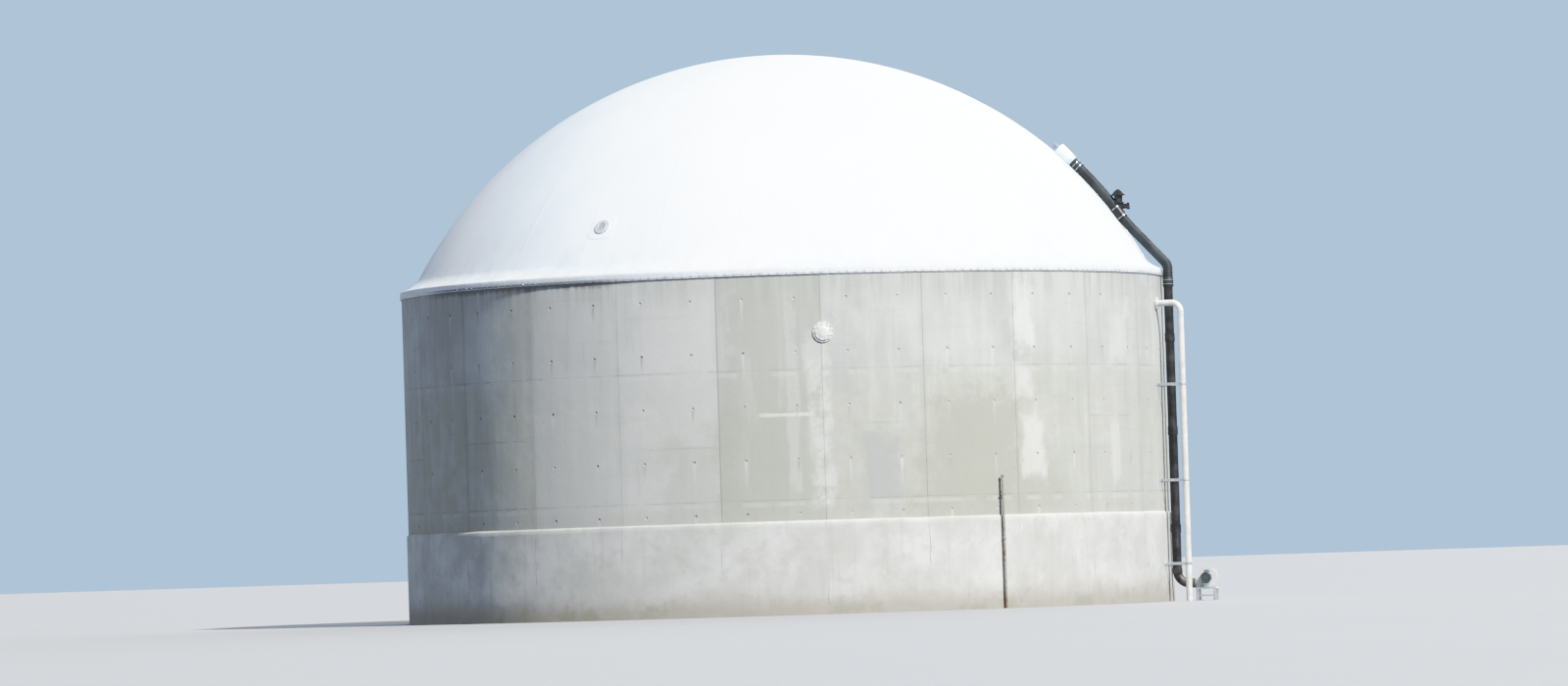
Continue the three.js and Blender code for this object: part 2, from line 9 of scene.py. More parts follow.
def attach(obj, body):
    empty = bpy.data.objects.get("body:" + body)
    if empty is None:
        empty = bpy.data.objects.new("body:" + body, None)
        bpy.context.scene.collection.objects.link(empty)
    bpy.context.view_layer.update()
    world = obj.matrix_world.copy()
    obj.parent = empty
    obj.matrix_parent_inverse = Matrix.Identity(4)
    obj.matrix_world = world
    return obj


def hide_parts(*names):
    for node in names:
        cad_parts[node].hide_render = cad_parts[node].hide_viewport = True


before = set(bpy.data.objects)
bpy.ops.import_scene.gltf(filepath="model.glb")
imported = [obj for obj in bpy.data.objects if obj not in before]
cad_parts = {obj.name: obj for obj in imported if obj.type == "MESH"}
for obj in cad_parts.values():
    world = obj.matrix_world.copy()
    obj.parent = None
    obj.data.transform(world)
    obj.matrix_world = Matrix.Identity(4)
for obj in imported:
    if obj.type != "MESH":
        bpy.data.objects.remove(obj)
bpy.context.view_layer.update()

# Biogas digester: the looks of its pieces. Metres, +Z up, with -Y facing the viewer.
# Azimuths are degrees about +Z from +X, so -90 is the front and 0 the right-hand side.

# Tank wall
WALL_RADIUS = 9.25
WALL_THICKNESS = 0.25
WALL_HEIGHT = 8.0
PANELS = 24
PANEL_ANGLE = 360 / PANELS
FIRST_JOINT = -84.7
SEGMENTS = 12
SEGMENT_ANGLE = 360 / SEGMENTS
SEAT_GAP = 0.0003
JOINT_WIDTH = 0.014
JOINT_DEPTH = 0.007
LIFT_HEIGHTS = (2.65, 5.65)
LIFT_WIDTH = 0.012
LIFT_DEPTH = 0.004
PANEL_STEP = 0.003
ROW_STEP = 0.45
COLUMN_STEP = 1.2

# Tie holes, two columns to a panel, plugged with mortar
TIE_COLUMNS = (0.25, 0.75)
TIE_LOWEST = 2.34
TIE_SPACING = 1.24
TIE_HEIGHTS = [TIE_LOWEST + TIE_SPACING * row for row in range(5)]
TIE_CELL = 0.16
TIE_RADIUS = 0.034
TIE_SUNK = 0.012
TIE_SIDES = 16

# Rendered band round the foot
FOOT_HEIGHT = 2.17
FOOT_RADIUS = 9.295
FOOT_SPLAY = 0.03
FOOT_PIECES = 6
FOOT_GRID = 1.9

# Rim: rail, turned-over hem, clamp bars and their bolts
RAIL_PIECES = 6
RAIL_RADIUS = 9.27
RAIL_HEIGHT = 0.16
RAIL_SHEET = 0.008
HEM_RADIUS = 9.275
HEM_DROP = 0.155
HEM_TOP = 8.024
HEM_INNER = 9.07
HEM_FABRIC = 0.004
HEM_FOLD = 0.018
SLACK_RADIUS = 9.3
BAR_HEIGHT = 0.045
BAR_THICKNESS = 0.006
BAR_BOTTOM = 7.862
CLAMP_BARS = 72
BOLTS_PER_BAR = 4

# Gas dome: a sphere of welded gores that turns out to the hem in a cove
DOME_BASE = 9.0
DOME_RISE = 5.54
SPHERE_RADIUS = (DOME_BASE ** 2 + DOME_RISE ** 2) / (2 * DOME_RISE)
SPHERE_HEIGHT = WALL_HEIGHT + DOME_RISE - SPHERE_RADIUS
DOME_GORES = 28
GORE_COLUMNS = 6
DOME_ROWS = 60
WELD_WIDTH = 0.055
WELD_RISE = 0.001
WELD_BORDER = 1.7
GORE_SWELL = 0.0009
CROWN_RADIUS = 0.6
MEMBRANE = 0.004
COVE_RADIUS = 9.245
COVE_HEIGHT = 8.3
COVE_SLOPE = 23.0
COVE_STEPS = 8

# Support-air line, and the valve on its hose by its distance from the tank's axis
AIR_AZIMUTH = -10.0
AIR_RADIUS = 0.11
AIR_LINE = WALL_RADIUS + 0.185
AIR_FOOT = 0.42
AIR_BEND = 0.3
COUPLING_HEIGHTS = (1.75, 4.1, 6.35)
COUPLING_LENGTH = 0.21
HOSE_START = 7.56
HOSE_TOP_ANGLE = 45.0
HOSE_LEAVE_ANGLE = 56.0
HOSE_RIM_SLOPE = 47.5
HOSE_DOME_BEND = 3.2
HOSE_RIM_BEND = 0.25
HOSE_RADIUS = 0.125
HOSE_PITCH = 0.042
HOSE_RIB = 0.008
VALVE_RADIUS = 8.3
COLLAR_LENGTH = 0.48
COLLAR_RADIUS = 0.15
CAP_LENGTH = 0.14
CAP_RADIUS = 0.085

# Gas draw-off pipe, and the brackets of both lines
GAS_AZIMUTH = -15.0
GAS_RADIUS = 0.075
GAS_LINE = WALL_RADIUS + 0.6
GAS_HEIGHT = 7.15
GAS_BEND = 0.22
GAS_WELD_HEIGHTS = (GAS_HEIGHT - GAS_BEND, 3.9)
GAS_FLANGE_RADIUS = 0.15
GAS_FLANGE = 0.028
BRACKETS = (0.9, 2.9, 5.2)

# Wall port, sight window and standpipe
PORT_AZIMUTH = -84.4
PORT_HEIGHT = 6.5
PORT_FLANGE_RADIUS = 0.24
PORT_FLANGE = 0.03
PORT_COVER_RADIUS = 0.19
PORT_COVER = 0.045
WINDOW_AZIMUTH = -120.0
WINDOW_HEIGHT = 9.17
WINDOW_RADIUS = 0.19
WINDOW_THICKNESS = 0.04
STANDPIPE_AZIMUTH = -57.9
STANDPIPE_LINE = 9.355
STANDPIPE_RADIUS = 0.03
STANDPIPE_HEIGHT = 3.1
STANDPIPE_SOCKET = 1.62
CLIP_HEIGHT = 2.65

# Blower, whose scroll stands over the air line's foot
BLOWER_LINE = 10.16
HOUSING_RADIUS = 0.24
HALF_WIDTH = 0.115
NECK_LENGTH = 0.28
NECK_HEIGHT = 0.22
HOUSING_LOW = AIR_FOOT - NECK_HEIGHT / 2
SHAFT_HEIGHT = HOUSING_LOW + HOUSING_RADIUS
MOTOR_RADIUS = 0.13
MOTOR_LENGTH = 0.31
MOTOR_BODY = 0.104
MOTOR_FINS = 36
INTAKE_RADIUS = 0.14
PLEATS = 60

# Camera and light, from where the photograph was taken
CAMERA_DISTANCE = 178.0
EYE_HEIGHT = 1.2
AIM_HEIGHT = 6.55
PIXELS_PER_METRE = 42.0
FRAME_WIDTH = 1600
SENSOR = 36.0
CAMERA_ROLL = -1.8
SUN_AZIMUTH = -51.0
SUN_ELEVATION = 42.0
TONE_WHITE = 1.6
TONE_CURVE = (
    (0.12, 0.12), (0.22, 0.285), (0.38, 0.475), (0.6, 0.665), (0.75, 0.785), (0.9, 0.885), (1.1, 0.95),
)
STAGE_REACH = 1200.0

UP = Vector((0, 0, 1))
QUARTER = math.pi / 2
draw = random.Random(7)


def polar(radius, angle):
    return radius * math.cos(angle), radius * math.sin(angle)


def radial(azimuth):
    return Vector((*polar(1.0, math.radians(azimuth)), 0.0))


def around(radius, azimuth, height):
    return radial(azimuth) * radius + UP * height


def axes_at(origin, across, up, outward):
    """A frame whose x, y and z run across, up and outward."""
    turned_to = Matrix((across, up, outward)).transposed().to_4x4()
    turned_to.translation = origin
    return turned_to


def on_wall(radius, azimuth, height):
    outward = radial(azimuth)
    return axes_at(around(radius, azimuth, height), UP.cross(outward), UP, outward)


def upright_at(radius, azimuth, height):
    """A frame beside the wall whose z runs up."""
    return turned(on_wall(radius, azimuth, height), -QUARTER, "X")


def on_dome(radius, down_angle, azimuth):
    down = math.radians(down_angle)
    outward = radial(azimuth) * math.sin(down) + UP * math.cos(down)
    across = UP.cross(radial(azimuth))
    return axes_at(UP * SPHERE_HEIGHT + outward * radius, across, outward.cross(across), outward)


def along_line(start, end):
    """A frame at start whose z runs towards end."""
    outward = (end - start).normalized()
    side = UP if abs(outward.z) < 0.9 else Vector((1, 0, 0))
    across = side.cross(outward).normalized()
    return axes_at(start, across, outward.cross(across), outward)


def moved(place, x=0.0, y=0.0, z=0.0):
    return place @ Matrix.Translation((x, y, z))


def turned(place, angle, axis="Z"):
    return place @ Matrix.Rotation(angle, 4, axis)


def down_angle_at(height):
    """How far down from its crown the dome reaches a height, in degrees."""
    return math.degrees(math.acos((height - SPHERE_HEIGHT) / SPHERE_RADIUS))


def degrees_of(length):
    return math.degrees(length / WALL_RADIUS)


class Shape:
    """Gathers the faces of one piece, each with the number of its finish."""

    def __init__(self):
        self.points = []
        self.faces = []
        self.finishes = []

    def face(self, corners, finish=0):
        self.faces.append(corners)
        self.finishes.append(finish)

    def loft(self, rings, finish=0, place=None, looped=False):
        """Joins closed rings of as many points each, capped at both ends unless they loop."""
        first = len(self.points)
        count = len(rings[0])
        for ring in rings:
            self.points += [place @ Vector(point) if place else Vector(point) for point in ring]
        for row in range(len(rings) if looped else len(rings) - 1):
            here = first + row * count
            there = first + (row + 1) % len(rings) * count
            for side in range(count):
                beside = (side + 1) % count
                self.face([here + side, here + beside, there + beside, there + side], finish)
        if not looped:
            last = len(self.points) - count
            self.face(list(range(first, first + count))[::-1], finish)
            self.face(list(range(last, last + count)), finish)

    def lathe(self, place, profile, sides, finish=0, looped=False):
        """Turns a list of (radius, height) about the place's z."""
        rings = [circle(radius, sides, height) for radius, height in profile]
        self.loft(rings, finish, place, looped)

    def prism(self, place, outline, low, high, chamfer=0.0):
        """An (x, y) outline raised along z, with its end edges cut back."""
        levels = [(low, chamfer), (low + chamfer, 0), (high - chamfer, 0), (high, chamfer)]
        if not chamfer:
            levels = [(low, 0), (high, 0)]
        rings = []
        for height, amount in levels:
            rings.append([(x, y, height) for x, y in inset(outline, amount)])
        self.loft(rings, 0, place)

    def block(self, place, corner, opposite, chamfer=0.002):
        """A box between two corners, with every edge cut back."""
        (x0, x1), (y0, y1), (z0, z1) = (sorted(ends) for ends in zip(corner, opposite))
        c = chamfer
        outline = [
            (x0 + c, y0), (x1 - c, y0), (x1, y0 + c), (x1, y1 - c),
            (x1 - c, y1), (x0 + c, y1), (x0, y1 - c), (x0, y0 + c),
        ]
        self.prism(place, outline, z0, z1, c)

    def tube(self, path, radius, sides):
        """A round section along a path. The radius may be a function of step and share of the turn."""
        rings = []
        for step, place in enumerate(frames_along(path)):
            reach = (lambda share: radius(step, share)) if callable(radius) else radius
            rings.append([place @ Vector(point) for point in circle(reach, sides)])
        self.loft(rings)

    def sweep(self, outline, start, end, steps, looped=False):
        """Carries a (radius, height) outline, or a function of azimuth that gives one, round the tank."""
        rings = []
        for step in range(steps if looped else steps + 1):
            azimuth = start + (end - start) * step / steps
            section = outline(azimuth) if callable(outline) else outline
            rings.append([around(radius, azimuth, height) for radius, height in section])
        self.loft(rings, looped=looped)

    def sleeve(self, place, inner, outer, length, finish=0):
        """A short ring round a pipe, centred on the place."""
        cut = min(0.004, (outer - inner) * 0.6)
        profile = cut_section(inner, outer, -length / 2, length / 2, cut)
        self.lathe(place, profile, 36, finish, looped=True)

    def screw(self, place, across, finish=0, lift=0.0):
        """A hexagon head that stands on the place's xy plane."""
        corner = across / math.sqrt(3)
        head = across * 0.42
        profile = [(corner, lift), (corner, lift + head * 0.75), (corner * 0.86, lift + head)]
        self.lathe(place, profile, 6, finish)

    def bolt(self, place, across, finish=0):
        """A hexagon head on a washer."""
        washer = across * 0.14
        self.lathe(place, [(across * 0.75, 0), (across * 0.75, washer)], 14, finish)
        self.screw(place, across, finish, washer)

    def bolt_ring(self, place, radius, count, across, finish=0, start=0.0):
        for index in range(count):
            spot = moved(place, *polar(radius, start + 2 * math.pi * index / count))
            self.bolt(spot, across, finish)


def circle(radius, sides, height=0.0):
    """A ring of points. The radius may be a function of the share of the turn."""
    points = []
    for side in range(sides):
        reach = radius(side / sides) if callable(radius) else radius
        points.append((*polar(reach, 2 * math.pi * side / sides), height))
    return points


def cut_section(inner, outer, low, high, cut=0.0):
    """A (radius, height) section whose two outer corners may be cut back."""
    if not cut:
        return [(inner, low), (outer, low), (outer, high), (inner, high)]
    return [
        (inner, low), (outer - cut, low), (outer, low + cut),
        (outer, high - cut), (outer - cut, high), (inner, high),
    ]


def inset(outline, amount):
    """Moves each side of an anticlockwise outline inwards."""
    if not amount:
        return outline
    shrunk = []
    count = len(outline)
    for index in range(count):
        before = Vector(outline[index - 1])
        here = Vector(outline[index])
        after = Vector(outline[(index + 1) % count])
        arriving = (here - before).normalized()
        leaving = (after - here).normalized()
        bisector = Vector((-arriving.y - leaving.y, arriving.x + leaving.x))
        shrunk.append(tuple(here + bisector * (2 * amount / bisector.dot(bisector))))
    return shrunk


def frames_along(path):
    """Frames at a path's points, turned from each to the next without twist."""
    places = []
    across = None
    for index, point in enumerate(path):
        before = path[max(index - 1, 0)]
        after = path[min(index + 1, len(path) - 1)]
        outward = (after - before).normalized()
        if across is None:
            across = along_line(point, point + outward).col[0].xyz
        across = (across - outward * across.dot(outward)).normalized()
        places.append(axes_at(point, across, outward.cross(across), outward))
    return places


def bent_path(corners, bends, spacing):
    """Straight stretches between corners, with a round bend of its own radius at each."""
    path = [corners[0]]
    for index, bend in enumerate(bends, 1):
        corner = corners[index]
        arriving = (corner - corners[index - 1]).normalized()
        leaving = (corners[index + 1] - corner).normalized()
        turn = arriving.angle(leaving)
        start = corner - arriving * bend * math.tan(turn / 2)
        inward = (leaving - arriving * leaving.dot(arriving)).normalized()
        steps = max(16, round(bend * turn / spacing))
        for step in range(steps + 1):
            angle = turn * step / steps
            offset = arriving * math.sin(angle) + inward * (1 - math.cos(angle))
            path.append(start + offset * bend)
    path.append(corners[-1])
    return evenly(path, spacing)


def evenly(path, spacing):
    """Adds points to the long stretches of a path."""
    full = [path[0]]
    for before, after in zip(path, path[1:]):
        steps = max(1, round((after - before).length / spacing))
        for step in range(1, steps + 1):
            full.append(before.lerp(after, step / steps))
    return full


def filled(edges, step):
    """Adds values between edges so that none lie further apart than step."""
    values = [edges[0]]
    for low, high in zip(edges, edges[1:]):
        parts = max(1, math.ceil((high - low) / step - 1e-6))
        values += [low + (high - low) * part / parts for part in range(1, parts + 1)]
    return values


def new_object(name, data):
    made = bpy.data.objects.new(name, data)
    bpy.context.scene.collection.objects.link(made)
    return made


def make_piece(name, shape, finishes, replaced=(), crease=35):
    """One object that rides with the tank, with its faces out and its sharp edges kept."""
    mesh = bpy.data.meshes.new(name)
    mesh.from_pydata(shape.points, [], shape.faces)
    for finish in finishes:
        mesh.materials.append(finish)
    mesh.polygons.foreach_set("material_index", shape.finishes)
    work = bmesh.new()
    work.from_mesh(mesh)
    bmesh.ops.recalc_face_normals(work, faces=work.faces)
    work.to_mesh(mesh)
    work.free()
    mesh.shade_smooth()
    mesh.set_sharp_from_angle(angle=math.radians(crease))
    piece = new_object(name, mesh)
    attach(piece, "root")
    if replaced:
        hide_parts(*replaced)
    return piece


class Finish:
    """A material under construction. Its methods add nodes and give their outputs."""

    def __init__(self, name, roughness=0.5, metallic=0.0):
        self.material = bpy.data.materials.new(name)
        self.material.use_nodes = True
        self.tree = self.material.node_tree
        self.tree.nodes.clear()
        self.shader = self.node("ShaderNodeBsdfPrincipled", {"Roughness": roughness, "Metallic": metallic})
        self.node("ShaderNodeOutputMaterial", {"Surface": self.shader.outputs["BSDF"]})
        self.place = self.node("ShaderNodeTexCoord").outputs["Object"]
        self.x, self.y, self.height = self.node("ShaderNodeSeparateXYZ", (self.place,)).outputs
        self.base = None

    def node(self, kind, inputs=(), **settings):
        """Adds a node. Its inputs are given by name, or in their order."""
        made = self.tree.nodes.new(kind)
        for name, value in settings.items():
            setattr(made, name, value)
        for socket, value in inputs.items() if isinstance(inputs, dict) else enumerate(inputs):
            self.feed(made.inputs[socket], value)
        return made

    def feed(self, socket, value):
        if isinstance(value, bpy.types.NodeSocket):
            self.tree.links.new(value, socket)
        else:
            socket.default_value = value

    def maths(self, operation, first, second=0.0, third=0.0):
        return self.node("ShaderNodeMath", (first, second, third), operation=operation).outputs[0]

    def add(self, first, second):
        return self.maths("ADD", first, second)

    def times(self, first, second):
        return self.maths("MULTIPLY", first, second)

    def total(self, *parts):
        """Adds up (output, share) parts."""
        whole = 0.0
        for output, share in parts:
            whole = self.add(whole, self.times(output, share))
        return whole

    def noise(self, scale, detail=3.0, roughness=0.5, distortion=0.0, place=None):
        inputs = {"Scale": scale, "Detail": detail, "Roughness": roughness, "Distortion": distortion}
        inputs["Vector"] = self.place if place is None else place
        return self.node("ShaderNodeTexNoise", inputs).outputs["Fac"]

    def streaks(self, across, upward, detail=4.0, roughness=0.6, distortion=0.0):
        """Noise with one scale across and another up, so that it draws out into streaks."""
        scaled = (self.place, (across, across, upward))
        made = self.node("ShaderNodeVectorMath", scaled, operation="MULTIPLY")
        return self.noise(1.0, detail, roughness, distortion, made.outputs[0])

    def swing(self, share, width):
        """Turns 0 to 1 into a swing of some width to both sides of 0."""
        return self.times(self.add(share, -0.5), width)

    def cells(self, scale, output="Distance"):
        return self.node("ShaderNodeTexVoronoi", {"Vector": self.place, "Scale": scale}).outputs[output]

    def chance(self, value, other):
        """A number from 0 to 1 that is random but fixed for each pair of whole numbers."""
        pair = self.node("ShaderNodeCombineXYZ", (value, other)).outputs[0]
        made = self.node("ShaderNodeTexWhiteNoise", {"Vector": pair}, noise_dimensions="2D")
        return made.outputs["Value"]

    def span(self, value, low, high, to_low=0.0, to_high=1.0):
        """Carries low..high to another range, smoothly and held at its ends."""
        inputs = (value, low, high, to_low, to_high)
        return self.node("ShaderNodeMapRange", inputs, interpolation_type="SMOOTHSTEP").outputs[0]

    def up_to(self, blur, amount, low, high):
        """Passes from 0 at one height to 1 at another, with an edge that a noise blurs."""
        return self.span(self.add(self.height, self.times(blur, amount)), low, high)

    def mix(self, amount, under, over):
        under, over = ((*tone, 1.0) if isinstance(tone, tuple) else tone for tone in (under, over))
        inputs = {"Factor": amount, "A": under, "B": over}
        return self.node("ShaderNodeMix", inputs, data_type="RGBA").outputs["Result"]

    def clouded(self, scale, detail, roughness, span, under, over):
        """Makes the base colour clouds of two tones, and gives their noise."""
        clouds = self.noise(scale, detail, roughness)
        self.base = self.mix(self.span(clouds, *span), under, over)
        return clouds

    def tint(self, tone, amount, *masks):
        """Lays a tone over the base colour, as strong as the amount and all masks together."""
        for mask in masks:
            amount = self.times(mask, amount)
        self.base = self.mix(amount, self.base, tone)

    def edges(self, distance):
        """Bright on edges and in corners, from the angle between near faces."""
        rounded = self.node("ShaderNodeBevel", {"Radius": distance}, samples=4).outputs[0]
        flat = self.node("ShaderNodeNewGeometry").outputs["Normal"]
        dot = self.node("ShaderNodeVectorMath", (rounded, flat), operation="DOT_PRODUCT")
        return self.maths("SUBTRACT", 1.0, dot.outputs["Value"])

    def finished(self, bump=None, depth=0.002, roughness=None):
        self.feed(self.shader.inputs["Base Color"], self.base)
        if roughness is not None:
            self.feed(self.shader.inputs["Roughness"], roughness)
        if bump is not None:
            made = self.node("ShaderNodeBump", {"Strength": 1.0, "Distance": depth, "Height": bump})
            self.feed(self.shader.inputs["Normal"], made.outputs[0])
        return self.material


class TankFinish(Finish):
    """A finish that knows the azimuth and how far it lies from the panel joints."""

    def __init__(self, name, **shader):
        super().__init__(name, **shader)
        turn = self.maths("ARCTAN2", self.y, self.x)
        self.azimuth = self.times(turn, 180 / math.pi)
        panels = self.times(self.add(self.azimuth, -FIRST_JOINT), 1 / PANEL_ANGLE)
        self.panel_share = self.maths("FRACT", panels)
        self.panel = self.maths("FLOORED_MODULO", self.maths("FLOOR", panels), float(PANELS))
        shifted = self.add(panels, 0.5)
        panel_width = math.radians(PANEL_ANGLE) * WALL_RADIUS
        self.past_joint = self.swing(self.maths("FRACT", shifted), panel_width)
        self.from_joint = self.maths("ABSOLUTE", self.past_joint)
        self.joint = self.maths("FLOORED_MODULO", self.maths("FLOOR", shifted), float(PANELS))

    def from_azimuth(self, azimuth):
        """Metres along the wall from an azimuth that isn't near the left-hand side."""
        gap = self.maths("ABSOLUTE", self.add(self.azimuth, -azimuth))
        return self.times(gap, math.radians(1) * WALL_RADIUS)

    def from_height(self, height):
        return self.maths("ABSOLUTE", self.maths("SUBTRACT", self.height, height))

    def rim_shadow_side(self):
        """1 where the rim's shadow is painted, on the side that the sun grazes, 0 some 25 degrees round from
        it.
        """
        turn = self.times(self.add(self.azimuth, -RIM_SHADOW_AZIMUTH), math.pi / 180)
        return self.span(self.maths("COSINE", turn), 0.91, 0.975)

    def patch_at(self, azimuth, height, half_width, half_height, ragged):
        """A soft patch of 0 to 1 with a ragged edge."""
        across = self.times(self.from_azimuth(azimuth), 1 / half_width)
        upward = self.times(self.from_height(height), 1 / half_height)
        reach = self.maths("MAXIMUM", across, upward)
        return self.span(self.add(reach, ragged), 1.2, 0.55)


# Patches that stand out on the front: azimuth, height, half width, half height, amount
DAMP = (0.39, 0.403, 0.332)
DULL = (0.382, 0.398, 0.394)
LIME = (0.705, 0.714, 0.689)
WALL_PATCHES = {
    DAMP: (
        (-62.0, 3.6, 1.5, 1.6, 0.85),
        (-71.0, 3.3, 1.8, 1.2, 0.35),
        (-54.0, 2.6, 1.5, 0.6, 0.4),
        (-103.0, 3.1, 1.0, 1.2, 0.35),
        (-93.0, 3.6, 1.3, 1.3, 0.35),
        (-50.0, 2.9, 0.7, 0.6, 0.3),
    ),
    DULL: (
        (-76.4, 3.2, 0.48, 0.9, 0.75),
        (-83.0, 6.0, 0.55, 1.1, 0.3),
    ),
    LIME: (
        (-51.6, 3.8, 0.36, 0.75, 0.62),
        (-32.8, 3.6, 0.24, 0.8, 0.4),
        (-53.0, 6.9, 0.36, 0.9, 0.7),
        (-53.2, 5.3, 0.3, 0.4, 0.55),
        (-31.0, 6.4, 0.5, 0.7, 0.4),
        (-89.0, 4.9, 0.14, 2.4, 0.28),
        (-85.6, 6.1, 0.3, 0.5, 0.4),
        (-89.8, 4.62, 0.62, 0.04, 0.75),
        (-105.5, 6.5, 1.3, 1.1, 0.3),
        (-111.5, 4.5, 0.5, 0.55, 0.25),
        (-112.0, 2.9, 0.6, 0.4, 0.25),
    ),
}
# The side that the sun grazes, where a painted shadow of the rim darkens the concrete under the hem
RIM_SHADOW_AZIMUTH = -134.0
# A seam of a second row of form boards, lower by some part of a metre on each panel
UPPER_SEAM = 4.7
# The joint left open after panel 22
OPEN_JOINT = 23
PALE_MARK = (0.647, 0.656, 0.622)


def cast_concrete():
    """Wall concrete: panel by panel tone that is partly painted light, clouds, lifts, streaks, tie-hole
    runs, pinholes and a painted shadow under the rim.
    """
    f = TankFinish("cast concrete", roughness=0.88)
    f.clouded(0.55, 5, 0.6, (0.36, 0.66), (0.473, 0.49, 0.465), (0.573, 0.589, 0.564))
    patches = f.noise(2.3, 5, 0.62)
    grain = f.noise(34, 4, 0.7)
    lower = f.up_to(patches, 0.35, 6.1, 5.3)
    f.tint((0.481, 0.486, 0.423), lower, f.span(patches, 0.36, 0.66, 0.35, 1.0))
    # Each panel's cast tone; on panels 20 to 22, towards the shaded side, the lighter tone is partly painted
    # light
    panel_tone_and_light = f.node("ShaderNodeAttribute", attribute_name="panel_tone_and_light").outputs["Fac"]
    f.tint((0.415, 0.44, 0.382), f.span(panel_tone_and_light, 0.0, -0.15))
    f.tint((0.614, 0.631, 0.614), f.span(panel_tone_and_light, 0.0, 0.15))

    smears = f.streaks(3.2, 0.35)
    f.tint(PALE_MARK, 0.34, f.span(smears, 0.5, 0.72))
    f.tint((0.382, 0.394, 0.365), 0.3, f.span(smears, 0.47, 0.3))
    pours = f.streaks(0.5, 4.5, roughness=0.65, distortion=0.6)
    f.tint((0.39, 0.398, 0.373), 0.2, f.span(pours, 0.56, 0.7))
    ragged = f.swing(f.noise(1.7, 5, 0.68), 2.2)
    for tone, spots in WALL_PATCHES.items():
        for azimuth, height, half_width, half_height, amount in spots:
            f.tint(tone, amount, f.patch_at(azimuth, height, half_width, half_height, ragged))

    # Seams of the form boards, and the lifts with a little lime below each
    broken = f.span(f.streaks(1.6, 0.32, roughness=0.7), 0.44, 0.6)
    stepped = f.add(UPPER_SEAM, f.times(f.chance(f.panel, 9.0), -0.8))
    seam = f.span(f.from_height(stepped), 0.035, 0.008)
    f.tint((0.349, 0.357, 0.324), 0.45, seam, broken, f.span(f.chance(f.panel, 4.0), 0.3, 0.6))
    for lift in LIFT_HEIGHTS:
        f.tint((0.299, 0.307, 0.282), 0.3, f.span(f.from_height(lift), 0.045, 0.008), broken)
        f.tint(PALE_MARK, 0.35, f.span(f.from_height(lift - 0.09), 0.08, 0.02), broken)

    # Stains beside the joints, and a dark line in each
    leak = f.span(f.streaks(4, 0.7, roughness=0.7), 0.36, 0.6)
    f.tint((0.357, 0.378, 0.34), 0.22, f.span(f.from_joint, 0.19, 0.01), leak)
    open_joint = f.maths("COMPARE", f.joint, float(OPEN_JOINT), 0.5)
    bite = f.maths("MAXIMUM", f.span(f.chance(f.joint, 2.0), 0.0, 1.0, 0.15, 0.5), open_joint)
    f.tint((0.249, 0.257, 0.232), 0.75, bite, f.span(f.from_joint, 0.02, 0.006))

    # Pale and dark runs below the tie holes
    column = f.times(f.panel_share, 2.0)
    half_panel = math.radians(PANEL_ANGLE / 2) * WALL_RADIUS
    across = f.maths("ABSOLUTE", f.swing(f.maths("FRACT", column), half_panel))
    rows = f.times(f.add(f.height, -TIE_LOWEST), 1 / TIE_SPACING)
    below = f.times(f.maths("SUBTRACT", 1.0, f.maths("FRACT", rows)), TIE_SPACING)
    hole = f.add(f.times(f.panel, 2.0), f.maths("FLOOR", column))
    runs = f.chance(hole, f.maths("FLOOR", rows))
    strip = f.span(f.add(across, f.swing(f.noise(2.5), 0.05)), 0.05, 0.012)
    f.tint((0.664, 0.672, 0.639), 0.6, strip, f.span(below, 0.75, 0.02), f.span(runs, 0.35, 1.0))
    f.tint((0.315, 0.315, 0.282), 0.6, strip, f.span(below, 0.45, 0.02), f.span(runs, 0.4, 0.0))

    # Wash below the hem, a painted shadow of the rim on the side the sun grazes, and splashed soil above the
    # foot
    wash_and_shadow_streaks = f.streaks(5, 0.22, 5, 0.65)
    f.tint((0.332, 0.34, 0.315), 0.42, f.span(f.height, 6.9, 7.85), f.span(wash_and_shadow_streaks, 0.42, 0.62))
    # Painted shadow of the rim: dark on the concrete just under the hem, on the side the sun grazes
    f.tint((0.14, 0.15, 0.14), 0.68, f.rim_shadow_side(), f.up_to(wash_and_shadow_streaks, 0.3, 7.84, 7.96))
    f.tint((0.432, 0.423, 0.365), 0.35, f.up_to(patches, 0.8, 3.2, 2.3))

    # The lime run below the port
    ragged_edge = f.swing(f.streaks(2.2, 0.99, 5, 0.65), 0.75)
    from_run = f.add(f.from_azimuth(PORT_AZIMUTH - 0.6), ragged_edge)
    lime_run = f.times(f.span(from_run, 0.4, 0.12), f.span(f.height, 2.2, 2.6))
    flecks = f.span(f.noise(3.2, 5, 0.72), 0.38, 0.56, 0.2, 1.0)
    below_port = f.span(f.height, PORT_HEIGHT - 0.3, PORT_HEIGHT - 0.9)
    f.tint((0.697, 0.705, 0.681), 0.62, lime_run, below_port, flecks)

    pits = f.times(f.span(f.cells(11), 0.1, 0.05), f.span(f.noise(1.1, 2), 0.42, 0.6))
    f.tint((0.232, 0.232, 0.216), 0.5, pits)
    f.tint((0.373, 0.378, 0.357), f.span(grain, 0.35, 0.7, 0.0, 0.22))
    return f.finished(f.total((grain, 0.5), (pits, -1.2), (patches, 1.2)), 0.004)


